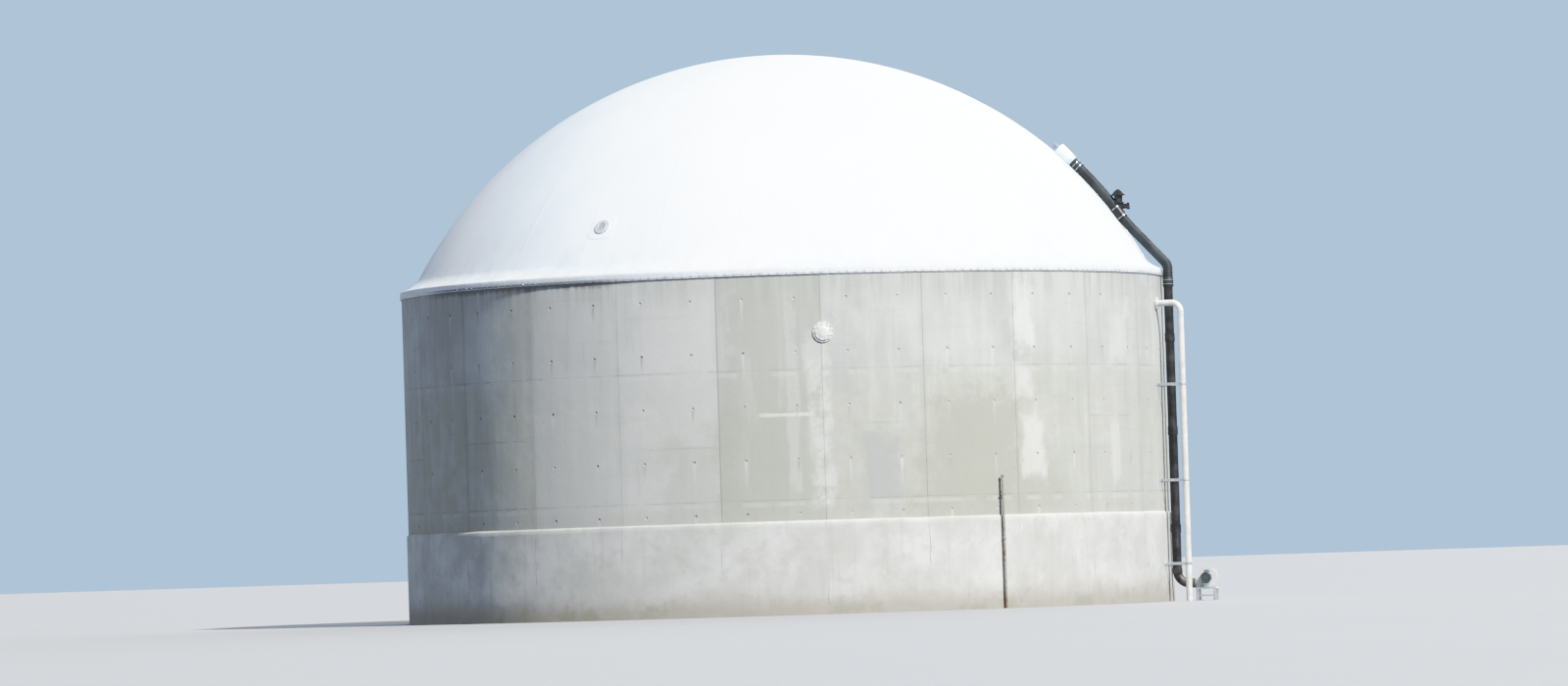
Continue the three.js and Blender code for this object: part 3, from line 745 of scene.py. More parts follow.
def foot_render():
    """Rendered foot band: pale coat with fine cracks, patches and splashed dirt."""
    f = TankFinish("foot render", roughness=0.9)
    clouds = f.clouded(0.8, 5, 0.6, (0.36, 0.64), (0.523, 0.531, 0.498), (0.631, 0.639, 0.614))
    patches = f.noise(3.0, 5, 0.65)
    grain = f.noise(55, 4, 0.7)
    f.tint((0.457, 0.457, 0.407), 0.4, f.span(patches, 0.5, 0.66))
    off_crack = f.maths("ABSOLUTE", f.add(f.past_joint, f.swing(f.noise(1.6, 4, 0.6), 0.25)))
    crack = f.times(f.span(off_crack, 0.009, 0.002), f.span(clouds, 0.5, 0.56))
    f.tint((0.249, 0.241, 0.216), 0.6, crack)
    f.tint((0.415, 0.415, 0.373), 0.3, f.span(f.streaks(7, 0.4), 0.52, 0.72))
    soil_line = f.add(f.height, f.swing(patches, 0.7))
    f.tint((0.299, 0.257, 0.195), 0.62, f.span(soil_line, 0.75, 0.05))
    f.tint((0.216, 0.241, 0.141), 0.4, f.span(soil_line, 0.5, 0.15), f.span(clouds, 0.5, 0.62))
    return f.finished(f.total((grain, 0.6), (patches, 1.4), (crack, -1.5)), 0.004)


def white_membrane(name="white membrane", grime=1.0):
    """Coated fabric: white with a cool blue tint that is partly painted sky light, with dust that gathers
    towards the rim and faint rain marks.
    """
    f = Finish(name, roughness=0.42)
    f.feed(f.shader.inputs["Specular IOR Level"], 0.12)
    # The blue in both tones is partly the coating's own and partly painted sky light
    clouds = f.clouded(0.45, 4, 0.55, (0.35, 0.65), (0.785, 0.858, 0.92), (0.82, 0.884, 0.935))
    streaks = f.streaks(2.4, 0.5, 5)
    f.tint((0.55, 0.56, 0.53), 0.2 * grime, f.up_to(clouds, 1.2, 10.6, 8.2), f.span(streaks, 0.4, 0.64))
    near_hem = f.span(f.height, 8.45, 8.02)
    f.tint((0.50, 0.50, 0.46), 0.28 * grime, near_hem, f.span(streaks, 0.3, 0.6, 0.25, 1.0))
    weave = f.total((f.noise(420, 2), 1.0), (f.noise(1.2), 6.0))
    return f.finished(weave, 0.0012, f.span(clouds, 0.3, 0.7, 0.46, 0.6))


def galvanised_steel():
    """Zinc with its spangle, dulled and whitened in patches."""
    f = Finish("galvanised steel")
    spangle = f.node("ShaderNodeRGBToBW", (f.cells(55, "Color"),)).outputs[0]
    f.base = f.mix(spangle, (0.47, 0.49, 0.51), (0.66, 0.68, 0.70))
    dull = f.span(f.noise(7, 4, 0.65), 0.42, 0.62)
    f.tint((0.56, 0.57, 0.57), 0.6, dull)
    white = f.span(f.noise(18, 4, 0.7), 0.56, 0.68)
    f.tint((0.75, 0.76, 0.75), 0.45, white)
    f.feed(f.shader.inputs["Metallic"], f.span(white, 0.0, 1.0, 0.9, 0.35))
    return f.finished(f.noise(90), 0.0006, f.span(dull, 0.0, 1.0, 0.34, 0.6))


def clamp_zinc():
    """Zinc of the rail and bars, gone dull and white, and darkened by painted shade on the side where the
    rim's shadow falls.
    """
    f = TankFinish("weathered zinc and painted shade", metallic=0.15)
    dull = f.clouded(4, 5, 0.65, (0.36, 0.62), (0.60, 0.61, 0.61), (0.76, 0.765, 0.76))
    f.tint((0.42, 0.42, 0.40), 0.3, f.span(f.streaks(9, 1.5, roughness=0.65), 0.54, 0.7))
    # Painted shade where the rim's shadow falls on the rail and bars
    f.tint((0.17, 0.18, 0.17), 0.75, f.rim_shadow_side())
    return f.finished(f.noise(70), 0.0006, f.span(dull, 0.35, 0.65, 0.5, 0.7))


def stainless_steel():
    f = Finish("stainless steel", metallic=1.0)
    wear = f.clouded(30, 4, 0.6, (0.4, 0.65), (0.62, 0.63, 0.64), (0.48, 0.48, 0.48))
    return f.finished(f.noise(160, 2), 0.0003, f.span(wear, 0.35, 0.7, 0.24, 0.45))


def black_pipe():
    """Black polyethylene, chalked in clouds, with scuffs along it and dust near the ground."""
    f = Finish("black polyethylene")
    chalk = f.clouded(3.5, 5, 0.6, (0.4, 0.7), (0.018, 0.019, 0.021), (0.05, 0.052, 0.054))
    f.tint((0.13, 0.13, 0.13), 0.5, f.span(f.streaks(60, 2.5), 0.58, 0.7))
    f.tint((0.24, 0.21, 0.165), 0.45, f.span(f.height, 1.1, 0.1), f.span(chalk, 0.35, 0.6))
    return f.finished(f.noise(40, 4), 0.001, f.span(chalk, 0.35, 0.7, 0.32, 0.55))


def hose_rubber():
    """Grey-blue spiral hose, dusty on its upper side."""
    f = Finish("hose rubber")
    fade = f.clouded(2.2, 5, 0.6, (0.38, 0.66), (0.024, 0.031, 0.034), (0.052, 0.063, 0.068))
    normal = f.node("ShaderNodeNewGeometry").outputs["Normal"]
    above = f.span(f.node("ShaderNodeSeparateXYZ", (normal,)).outputs[2], 0.1, 0.9)
    f.tint((0.2, 0.21, 0.2), 0.32, above, f.span(f.noise(9, 5, 0.65), 0.4, 0.62))
    return f.finished(f.noise(110), 0.0008, f.span(fade, 0.4, 0.7, 0.52, 0.7))


def moulded_plastic(name, dark, light):
    f = Finish(name)
    fade = f.clouded(6, 4, 0.6, (0.38, 0.64), dark, light)
    f.tint((0.16, 0.15, 0.13), 0.35, f.span(f.noise(45, 4, 0.7), 0.58, 0.7))
    return f.finished(f.noise(130, 2), 0.0005, f.span(fade, 0.4, 0.7, 0.4, 0.56))


def painted_steel(name, coat, worn_edges=0.75):
    """Paint with rust where the edges have chipped, and thin runs below."""
    f = Finish(name)
    f.clouded(4.5, 5, 0.6, (0.36, 0.66), coat, tuple(part * 0.84 for part in coat))
    f.tint((0.46, 0.37, 0.27), 0.32, f.span(f.streaks(38, 3.0, roughness=0.65), 0.56, 0.7))
    rim = f.times(f.span(f.edges(0.004), 0.02, 0.12), f.span(f.noise(40, 4, 0.7), 0.4, 0.55))
    chips = f.span(f.noise(26, 4, 0.75), 0.66, 0.7)
    bare = f.times(f.maths("MAXIMUM", rim, chips), worn_edges)
    f.tint(f.mix(f.noise(80), (0.30, 0.13, 0.06), (0.14, 0.06, 0.035)), bare)
    relief = f.total((bare, -0.8), (f.noise(60), 0.3))
    return f.finished(relief, 0.0008, f.span(bare, 0.0, 1.0, 0.34, 0.85))


def rusty_steel():
    """Old zinc gone grey-brown, with rust in patches and all over near the ground."""
    f = Finish("rusty steel", roughness=0.82, metallic=0.15)
    blotches = f.clouded(11, 6, 0.68, (0.34, 0.6), (0.27, 0.265, 0.24), (0.36, 0.355, 0.33))
    fine = f.noise(70, 5, 0.7)
    rust = f.mix(f.span(fine, 0.4, 0.65), (0.16, 0.085, 0.05), (0.31, 0.165, 0.085))
    thinning = f.total((f.noise(6, 5, 0.7), 1.0), (f.height, -0.045))
    f.tint(rust, 0.75, f.span(thinning, 0.46, 0.54))
    f.tint(rust, 0.8, f.up_to(blotches, 0.6, 0.9, 0.25))
    return f.finished(f.total((fine, 1.0), (blotches, 2.0)), 0.002)


def mortar():
    f = Finish("plug mortar", roughness=0.93)
    f.clouded(7, 5, 0.65, (0.38, 0.62), (0.299, 0.303, 0.282), (0.548, 0.556, 0.523))
    return f.finished(f.noise(120, 4, 0.7), 0.002)


def gasket_rubber():
    f = Finish("gasket rubber", roughness=0.7)
    f.base = f.mix(f.noise(25), (0.02, 0.02, 0.021), (0.05, 0.05, 0.05))
    return f.finished(f.noise(140, 2), 0.0004)


def sight_glass():
    """Glass gone milky behind the dust on it."""
    f = Finish("sight glass")
    dust = f.span(f.noise(9, 5, 0.6), 0.42, 0.7)
    f.base = f.mix(f.times(dust, 0.6), (0.32, 0.36, 0.40), (0.50, 0.52, 0.53))
    return f.finished(f.noise(12, 2), 0.0003, f.span(dust, 0.0, 1.0, 0.06, 0.35))


def filter_felt():
    f = Finish("filter felt", roughness=0.95)
    f.clouded(14, 5, 0.65, (0.38, 0.64), (0.42, 0.40, 0.34), (0.22, 0.21, 0.185))
    return f.finished(f.noise(220), 0.001)


def floor_grey():
    f = Finish("stage floor", roughness=0.8)
    f.base = f.mix(f.noise(0.05), (0.415, 0.419, 0.423), (0.44, 0.444, 0.448))
    return f.finished()


CONCRETE = cast_concrete()
RENDER = foot_render()
DOME_WHITE = white_membrane()
HEM_WHITE = white_membrane("hem membrane", 0.6)
ZINC = galvanised_steel()
CLAMP_ZINC = clamp_zinc()
STAINLESS = stainless_steel()
BLACK = black_pipe()
HOSE = hose_rubber()
GREY_PLASTIC = moulded_plastic("grey plastic", (0.17, 0.205, 0.235), (0.27, 0.305, 0.335))
PALE_PLASTIC = moulded_plastic("pale plastic", (0.56, 0.585, 0.61), (0.68, 0.70, 0.715))
WHITE_PAINT = painted_steel("white paint", (0.745, 0.75, 0.725))
MOTOR_PAINT = painted_steel("motor paint", (0.16, 0.215, 0.25), 0.6)
RUST = rusty_steel()
MORTAR = mortar()
GASKET = gasket_rubber()
GLASS = sight_glass()
FILTER_FELT = filter_felt()

# Panels whose cast tone stands out at the front; the lighter tones of panels 20 to 22, towards the shaded
# side, are partly painted light that lifts their shading. The others vary a little at random.
PANEL_TONES_AND_LIGHT = {23: -0.1, 22: 0.09, 21: 0.08, 20: 0.02, 0: 0.0, 1: -0.01, 2: -0.03, 3: 0.03}
panel_tones_and_light = [PANEL_TONES_AND_LIGHT.get(panel, draw.uniform(-0.08, 0.08)) for panel in range(PANELS)]
panel_steps = [draw.uniform(0.0, PANEL_STEP) for panel in range(PANELS)]


def near_any(value, others):
    return any(abs(value - other) < 1e-6 for other in others)


def wall_rows():
    """(height, how far it lies in a lift groove) up the wall."""
    edges = [0.0, FOOT_GRID]
    for height in TIE_HEIGHTS:
        edges += [height - TIE_CELL / 2, height + TIE_CELL / 2]
    for lift in LIFT_HEIGHTS:
        edges += [lift - LIFT_WIDTH / 2, lift, lift + LIFT_WIDTH / 2]
    edges = sorted(edges) + [WALL_HEIGHT]
    return [(height, 1.0 if height in LIFT_HEIGHTS else 0.0) for height in filled(edges, ROW_STEP)]


def panel_columns():
    """Angles across one panel between its joint grooves."""
    edge = degrees_of(JOINT_WIDTH / 2)
    half = degrees_of(TIE_CELL / 2)
    edges = [edge]
    for share in TIE_COLUMNS:
        edges += [share * PANEL_ANGLE - half, share * PANEL_ANGLE + half]
    edges.append(PANEL_ANGLE - edge)
    return filled(edges, COLUMN_STEP)


def tie_hole(shape, corners, place):
    """Opens a plugged hole in one cell of the wall's grid."""
    first = len(shape.points)
    for radius, depth in ((TIE_RADIUS, 0.0), (TIE_RADIUS * 0.8, -TIE_SUNK)):
        shape.points += [place @ Vector(point) for point in circle(radius, TIE_SIDES, depth)]
    quarter = TIE_SIDES // 4
    for corner in range(4):
        # Corners run from the lower left, so each one faces a quarter that starts behind it
        start = (corner * quarter + TIE_SIDES // 2) % TIE_SIDES
        for step in range(quarter):
            here = first + (start + step) % TIE_SIDES
            there = first + (start + step + 1) % TIE_SIDES
            shape.face([corners[corner], there, here])
        turn = first + (start + quarter) % TIE_SIDES
        shape.face([corners[corner], corners[(corner + 1) % 4], turn])
    inner = first + TIE_SIDES
    for side in range(TIE_SIDES):
        beside = (side + 1) % TIE_SIDES
        shape.face([first + side, first + beside, inner + beside, inner + side], 1)
    shape.face([inner + side for side in range(TIE_SIDES)], 1)


def wall_segment(number):
    """Two formwork panels with their joints, lifts and tie holes, closed at the back."""
    shape = Shape()
    start = FIRST_JOINT + SEGMENT_ANGLE * (number - 1)
    gap = degrees_of(SEAT_GAP / 2)
    tie_half = degrees_of(TIE_CELL / 2)
    rows = wall_rows()
    first_panel = 2 * (number - 1)
    columns = [(gap, 1.0, first_panel)]
    tie_starts = []
    for side in range(2):
        base = side * PANEL_ANGLE
        panel = first_panel + side
        columns += [(base + angle, 0.0, panel) for angle in panel_columns()]
        columns.append((base + PANEL_ANGLE - (gap if side else 0.0), 1.0, panel))
        tie_starts += [base + share * PANEL_ANGLE - tie_half for share in TIE_COLUMNS]
    for angle, in_joint, panel in columns:
        for height, in_lift in rows:
            depth = max(in_joint * JOINT_DEPTH, in_lift * LIFT_DEPTH) + panel_steps[panel]
            shape.points.append(around(WALL_RADIUS - depth, start + angle, height))

    count = len(rows)
    tie_bottoms = [height - TIE_CELL / 2 for height in TIE_HEIGHTS]
    for column, (angle, in_joint, panel) in enumerate(columns[:-1]):
        tied = near_any(angle, tie_starts)
        for row, (bottom, in_lift) in enumerate(rows[:-1]):
            low = column * count + row
            corners = [low, low + count, low + count + 1, low + 1]
            if tied and near_any(bottom, tie_bottoms):
                radius = WALL_RADIUS - panel_steps[panel] - 0.0002
                place = on_wall(radius, start + angle + tie_half, bottom + TIE_CELL / 2)
                tie_hole(shape, corners, place)
            else:
                shape.face(corners)

    inner = len(shape.points)
    for angle, in_joint, panel in columns:
        for height in (0.0, WALL_HEIGHT):
            shape.points.append(around(WALL_RADIUS - WALL_THICKNESS, start + angle, height))
    for column in range(len(columns) - 1):
        low = inner + 2 * column
        outer_low = column * count
        outer_high = outer_low + count - 1
        shape.face([low, low + 1, low + 3, low + 2])
        shape.face([outer_low, low, low + 2, outer_low + count])
        shape.face([outer_high, outer_high + count, low + 3, low + 1])
    last = (len(columns) - 1) * count
    last_inner = inner + 2 * (len(columns) - 1)
    shape.face([*range(count), inner + 1, inner])
    shape.face([*range(last, last + count)][::-1] + [last_inner, last_inner + 1])

    piece = make_piece(
        f"wall_panels_{number:02d}", shape, [CONCRETE, MORTAR],
        [f"wall_segment_{number:02d}"], crease=28,
    )
    values = []
    for polygon in piece.data.polygons:
        azimuth = math.degrees(math.atan2(polygon.center.y, polygon.center.x))
        panel = math.floor((azimuth - FIRST_JOINT) / PANEL_ANGLE) % PANELS
        values.append(panel_tones_and_light[panel])
    tones = piece.data.attributes.new("panel_tone_and_light", "FLOAT", "FACE")
    tones.data.foreach_set("value", values)


def swept_length(outline, number, pieces):
    """One of several equal lengths round the wall, with a step to each degree."""
    angle = 360 / pieces
    start = FIRST_JOINT + angle * (number - 1)
    gap = degrees_of(SEAT_GAP)
    shape = Shape()
    shape.sweep(outline, start + gap, start + angle - gap, round(angle))
    return shape


def foot_band(number):
    """One length of the rendered band, with an uneven face and a splayed top."""
    inner = WALL_RADIUS + SEAT_GAP
    heights = filled([0.0, FOOT_HEIGHT - FOOT_SPLAY - 0.012], 0.1)

    def section(azimuth):
        face = []
        for height in heights:
            spot = around(FOOT_RADIUS, azimuth, height)
            wave = 0.006 * (0.5 + 0.5 * noise.noise(spot * 1.1)) + 0.002 * noise.noise(spot * 5)
            face.append((FOOT_RADIUS - max(wave, 0.0), height))
        uneven = 0.008 * noise.noise(around(3.0, azimuth, 0.0) * 2.5)
        splay = (FOOT_RADIUS - 0.009, FOOT_HEIGHT - FOOT_SPLAY + uneven)
        return [(inner, 0.0), *face, splay, (inner, FOOT_HEIGHT + min(uneven, 0.0))]

    shape = swept_length(section, number, FOOT_PIECES)
    replaced = [f"foot_band_{number:02d}"]
    make_piece(f"foot_render_{number:02d}", shape, [RENDER], replaced, crease=40)


def rim_rail(number):
    """One length of the rolled rail that the hem is clamped over."""
    low = WALL_HEIGHT - RAIL_HEIGHT
    top = WALL_HEIGHT
    inner = WALL_RADIUS + SEAT_GAP
    outer = RAIL_RADIUS
    sheet = RAIL_SHEET
    outline = [
        (inner, low), (outer - 0.004, low), (outer, low + 0.004), (outer, top - 0.006), (outer - 0.006, top),
        (inner, top), (inner, top - sheet), (outer - sheet, top - sheet), (outer - sheet, low + sheet),
        (inner, low + sheet),
    ]
    shape = swept_length(outline, number, RAIL_PIECES)
    replaced = [f"clamp_rail_{number:02d}"]
    make_piece(f"rim_rail_{number:02d}", shape, [CLAMP_ZINC], replaced)


def gore_ring(down, weld=WELD_RISE, lift=0.0):
    """A ring of the membrane at an angle down from its crown, swollen between its welds."""
    gore = 2 * math.pi / DOME_GORES
    half_weld = min(WELD_WIDTH / 2 / (SPHERE_RADIUS * math.sin(down)), 0.22 * gore)
    border = WELD_BORDER * half_weld
    fade = min(1.0, max(0.0, (down - CROWN_RADIUS / SPHERE_RADIUS) / 0.35))
    columns = []
    for index in range(DOME_GORES):
        start = gore * (index + 0.5)
        # A border beside the weld keeps its slope from shading the whole gore
        for share in (-WELD_BORDER, -1.0, -0.8, 0.0, 0.8, 1.0, WELD_BORDER):
            columns.append((start + half_weld * share, weld if abs(share) < 1 else 0.0))
        for column in range(1, GORE_COLUMNS):
            share = column / GORE_COLUMNS
            swell = GORE_SWELL * fade * math.sin(math.pi * share)
            columns.append((start + border + (gore - 2 * border) * share, swell))
    radius = SPHERE_RADIUS - GORE_SWELL - WELD_RISE + lift
    ring = []
    for angle, out in columns:
        spot = Vector((*polar(math.sin(down), angle), math.cos(down)))
        slack = 0.003 * noise.noise(spot * 22) * fade
        ring.append(spot * (radius + out + slack) + UP * SPHERE_HEIGHT)
    return ring


def cove_rings(foot, above):
    """Rings from the hem's edge up to the sphere at its foot angle, under the ring above."""
    top = Vector((SPHERE_RADIUS * math.sin(foot), COVE_HEIGHT))
    edge = Vector((COVE_RADIUS, HEM_TOP + 0.003))
    steep = math.tan(foot)
    flat = math.tan(math.radians(COVE_SLOPE))
    turn = (top.y + steep * top.x - edge.y - flat * edge.x) / (steep - flat)
    middle = Vector((turn, edge.y + flat * (edge.x - turn)))
    rings = []
    for step in range(COVE_STEPS):
        share = step / COVE_STEPS
        spot = edge.lerp(middle, share).lerp(middle.lerp(top, share), share)
        ring = []
        for point in above:
            ring.append(Vector((point.x, point.y, 0)).normalized() * spot.x + UP * spot.y)
        rings.append(ring)
    return rings


def gas_dome():
    """The outer membrane: a cove at its foot, welded gores and a crown disc laid over them."""
    foot = math.radians(down_angle_at(COVE_HEIGHT))
    crown = CROWN_RADIUS / SPHERE_RADIUS
    gores = [gore_ring(foot + (crown - foot) * row / DOME_ROWS) for row in range(DOME_ROWS + 1)]
    # The disc starts so near the gores that the step between them stays sharp
    disc = [gore_ring(crown * share, 0.0, 2 * WELD_RISE) for share in (0.9996, 0.66, 0.33, 0.02)]
    outer = cove_rings(foot, gores[0]) + gores + disc
    centre = UP * SPHERE_HEIGHT
    inner = []
    for ring in outer:
        inner.append([point - (point - centre).normalized() * MEMBRANE for point in ring])
    shape = Shape()
    shape.loft(inner[::-1] + outer)
    make_piece("gas_dome", shape, [DOME_WHITE], ["dome_membrane"], crease=50)


def dome_hem():
    """The hem over the rail, puckered between its bolts, with a welded overlap on the dome."""
    bolts = CLAMP_BARS * BOLTS_PER_BAR
    low = WALL_HEIGHT - HEM_DROP
    outside = HEM_RADIUS + HEM_FABRIC
    inside = HEM_RADIUS - 0.001

    def section(azimuth):
        pull = math.cos(math.radians(azimuth * bolts))
        # Its slack and its edge vary along a circle near the hem
        spot = radial(azimuth) * SLACK_RADIUS
        pucker = 0.0016 * (1 - pull) + 0.0025 * noise.noise(spot * 3)
        edge = low + 0.003 * (1 - pull) + 0.004 * noise.noise(spot * 1.7)
        front = [
            (outside + 0.4 * pucker, edge),
            (outside, low + 0.035),
            (outside, BAR_BOTTOM + BAR_HEIGHT),
            (outside + pucker, BAR_BOTTOM + BAR_HEIGHT + 0.03),
            (outside + pucker, HEM_TOP - HEM_FOLD),
            (outside - HEM_FOLD * 0.3, HEM_TOP - HEM_FOLD * 0.3),
            (outside - HEM_FOLD, HEM_TOP),
            (outside - 0.06, HEM_TOP - 0.001 + pucker),
            (HEM_INNER + 0.06, HEM_TOP - 0.002 + pucker * 0.6),
            (HEM_INNER, HEM_TOP - 0.004),
        ]
        back = [
            (HEM_INNER, HEM_TOP - 0.008),
            (HEM_RADIUS - HEM_FOLD, HEM_TOP - 0.009),
            (inside, HEM_TOP - HEM_FOLD),
            (inside, low + 0.035),
            (inside, edge),
        ]
        return front + back

    shape = Shape()
    shape.sweep(section, 0, 360, bolts * 6, looped=True)
    make_piece("dome_hem", shape, [HEM_WHITE], crease=60)


def clamp_bars():
    """Flat bars round the hem's foot, bolted through to the rail."""
    bars = Shape()
    bolts = Shape()
    bar_angle = 360 / CLAMP_BARS
    joint = degrees_of(0.008)
    inner = HEM_RADIUS + 0.0045
    outer = inner + BAR_THICKNESS
    outline = cut_section(inner, outer, BAR_BOTTOM, BAR_BOTTOM + BAR_HEIGHT, 0.0015)
    for index in range(CLAMP_BARS):
        start = bar_angle * index + joint / 2
        bars.sweep(outline, start, start + bar_angle - joint, 5)
        for bolt in range(BOLTS_PER_BAR):
            azimuth = bar_angle * (index + (bolt + 0.5) / BOLTS_PER_BAR)
            place = on_wall(outer, azimuth, BAR_BOTTOM + BAR_HEIGHT / 2)
            bolts.bolt(turned(place, draw.uniform(0, 1)), 0.018)
    make_piece("hem_clamp_bars", bars, [CLAMP_ZINC])
    make_piece("hem_clamp_bolts", bolts, [STAINLESS])


def band_clamp(shape, place, radius, turn):
    """A worm-drive clamp: a thin band and its screw housing."""
    shape.sleeve(place, radius - 0.001, radius + 0.0015, 0.014)
    housing = turned(place, turn)
    shape.block(housing, (radius, -0.017, -0.008), (radius + 0.011, 0.017, 0.008))
    shape.screw(turned(moved(housing, radius + 0.006, 0.017), -QUARTER, "X"), 0.008)


def air_pipe():
    """Black pipe down the wall to the blower, with fusion couplings and a moulded elbow."""
    corners = [
        around(AIR_LINE, AIR_AZIMUTH, HOSE_START),
        around(AIR_LINE, AIR_AZIMUTH, AIR_FOOT),
        around(BLOWER_LINE - NECK_LENGTH - SEAT_GAP, AIR_AZIMUTH, AIR_FOOT),
    ]
    shape = Shape()
    shape.tube(bent_path(corners, [AIR_BEND], 0.3), AIR_RADIUS, 36)
    for height in COUPLING_HEIGHTS:
        place = upright_at(AIR_LINE, AIR_AZIMUTH, height)
        shape.sleeve(place, AIR_RADIUS - 0.002, AIR_RADIUS + 0.013, COUPLING_LENGTH)
        for side in (-1, 1):
            side_of_pipe = moved(place, AIR_RADIUS * 0.35, AIR_RADIUS * 0.93, side * 0.07)
            post = turned(side_of_pipe, -QUARTER, "X")
            shape.lathe(post, [(0.009, 0), (0.009, 0.02), (0.006, 0.022), (0.006, 0.034)], 14)
    elbow_top = upright_at(AIR_LINE, AIR_AZIMUTH, AIR_FOOT + AIR_BEND)
    elbow_end = on_wall(AIR_LINE + AIR_BEND, AIR_AZIMUTH, AIR_FOOT)
    for place, length in ((elbow_top, 0.13), (elbow_end, 0.09)):
        shape.sleeve(place, AIR_RADIUS - 0.002, AIR_RADIUS + 0.012, length)
    make_piece("air_pipe_run", shape, [BLACK], ["air_pipe"])


def hose_path():
    """Down the dome, off it at a gentler slope, over the hem and down to the pipe."""
    sphere = SPHERE_RADIUS + HOSE_RADIUS + SEAT_GAP
    path = []
    steps = 22
    # Where the bend off the dome starts
    near = HOSE_LEAVE_ANGLE - 1.6
    for step in range(steps + 1):
        down = HOSE_TOP_ANGLE + (near - HOSE_TOP_ANGLE) * step / steps
        path.append(on_dome(sphere, down, AIR_AZIMUTH).translation)
    last = path.pop()
    leave = on_dome(sphere, HOSE_LEAVE_ANGLE, AIR_AZIMUTH).translation
    run = AIR_LINE - sphere * math.sin(math.radians(HOSE_LEAVE_ANGLE))
    corner = around(AIR_LINE, AIR_AZIMUTH, leave.z - run * math.tan(math.radians(HOSE_RIM_SLOPE)))
    foot = around(AIR_LINE, AIR_AZIMUTH, HOSE_START + SEAT_GAP)
    return path + bent_path([last, leave, corner, foot], [HOSE_DOME_BEND, HOSE_RIM_BEND], HOSE_PITCH)


def relief_valve(shape, clamps, place):
    """A valve on a saddle round the hose: its body, a rain hood and a capped branch."""
    saddle = HOSE_RADIUS + 0.010
    shape.sleeve(place, HOSE_RADIUS - 0.012, saddle, 0.34)
    for side in (-1, 1):
        band_clamp(clamps, moved(place, z=0.13 * side), saddle, 1.9)
    spot = place.translation
    upright = Matrix.Translation(spot)
    shoulder = 0.250
    body = [
        (0.104, 0.08), (0.104, 0.215), (0.134, 0.222), (0.134, shoulder), (0.098, 0.262), (0.098, 0.43),
    ]
    hood = [
        (0.080, 0.436), (0.158, 0.408), (0.165, 0.410), (0.166, 0.430),
        (0.082, 0.530), (0.040, 0.548), (0.034, 0.566), (0.020, 0.570),
    ]
    for profile in (body, hood):
        shape.lathe(upright, profile, 36)
    shape.bolt_ring(moved(upright, z=shoulder), 0.118, 8, 0.012)
    branch = on_wall(spot.xy.length, AIR_AZIMUTH, spot.z + 0.15)
    cap = [(0.060, 0.04), (0.060, 0.20), (0.082, 0.205), (0.084, 0.21), (0.084, 0.262), (0.072, 0.275)]
    shape.lathe(branch, cap, 32)


def air_hose():
    """Spiral hose over the rim, with cuffs and clamps at both ends and a valve on it."""
    path = evenly(hose_path(), HOSE_PITCH / 6)
    reach = [0.0]
    for before, after in zip(path, path[1:]):
        reach.append(reach[-1] + (after - before).length)

    def ribbed(step, share):
        phase = 2 * math.pi * (reach[step] / HOSE_PITCH - share)
        return HOSE_RADIUS - HOSE_RIB * (0.5 - 0.5 * math.cos(phase)) ** 0.6

    hose = Shape()
    hose.tube(path, ribbed, 28)
    places = frames_along(path)
    clamps = Shape()
    cuff = HOSE_RADIUS + 0.004
    # The steps of the path at which the two clamps of each cuff lie
    for one, other in ((14, 30), (len(path) - 12, len(path) - 26)):
        hose.sleeve(places[(one + other) // 2], HOSE_RADIUS - 0.012, cuff, 0.2)
        for step in (one, other):
            band_clamp(clamps, places[step], cuff, 1.9)
    valve = Shape()
    nearest = min(places, key=lambda place: abs(place.translation.xy.length - VALVE_RADIUS))
    relief_valve(valve, clamps, nearest)
    make_piece("hose_valve", valve, [BLACK])
    make_piece("air_hose_run", hose, [HOSE], ["air_hose"], crease=50)
    make_piece("air_hose_clamps", clamps, [STAINLESS])


def weld_patch(name, down_angle, azimuth, half_width, half_length):
    """A rounded patch of membrane welded to the dome, following its curve."""
    thickness = 0.003
    rings = []
    levels = [(1.0, -0.02), (1.0, thickness), (0.98, thickness + 0.001), (0.5, thickness + 0.001)]
    for share, rise in levels:
        ring = []
        for x, y, _ in circle(1.0, 64):
            x = math.copysign(abs(x) ** 0.45, x) * half_width * share
            y = math.copysign(abs(y) ** 0.45, y) * half_length * share
            spot = Vector((x, y, math.sqrt(SPHERE_RADIUS ** 2 - x * x - y * y)))
            ring.append(spot + spot.normalized() * (rise - GORE_SWELL * 0.3))
        rings.append(ring)
    patch = Shape()
    patch.loft(rings, 0, on_dome(0.0, down_angle, azimuth))
    make_piece(name, patch, [HEM_WHITE], crease=60)


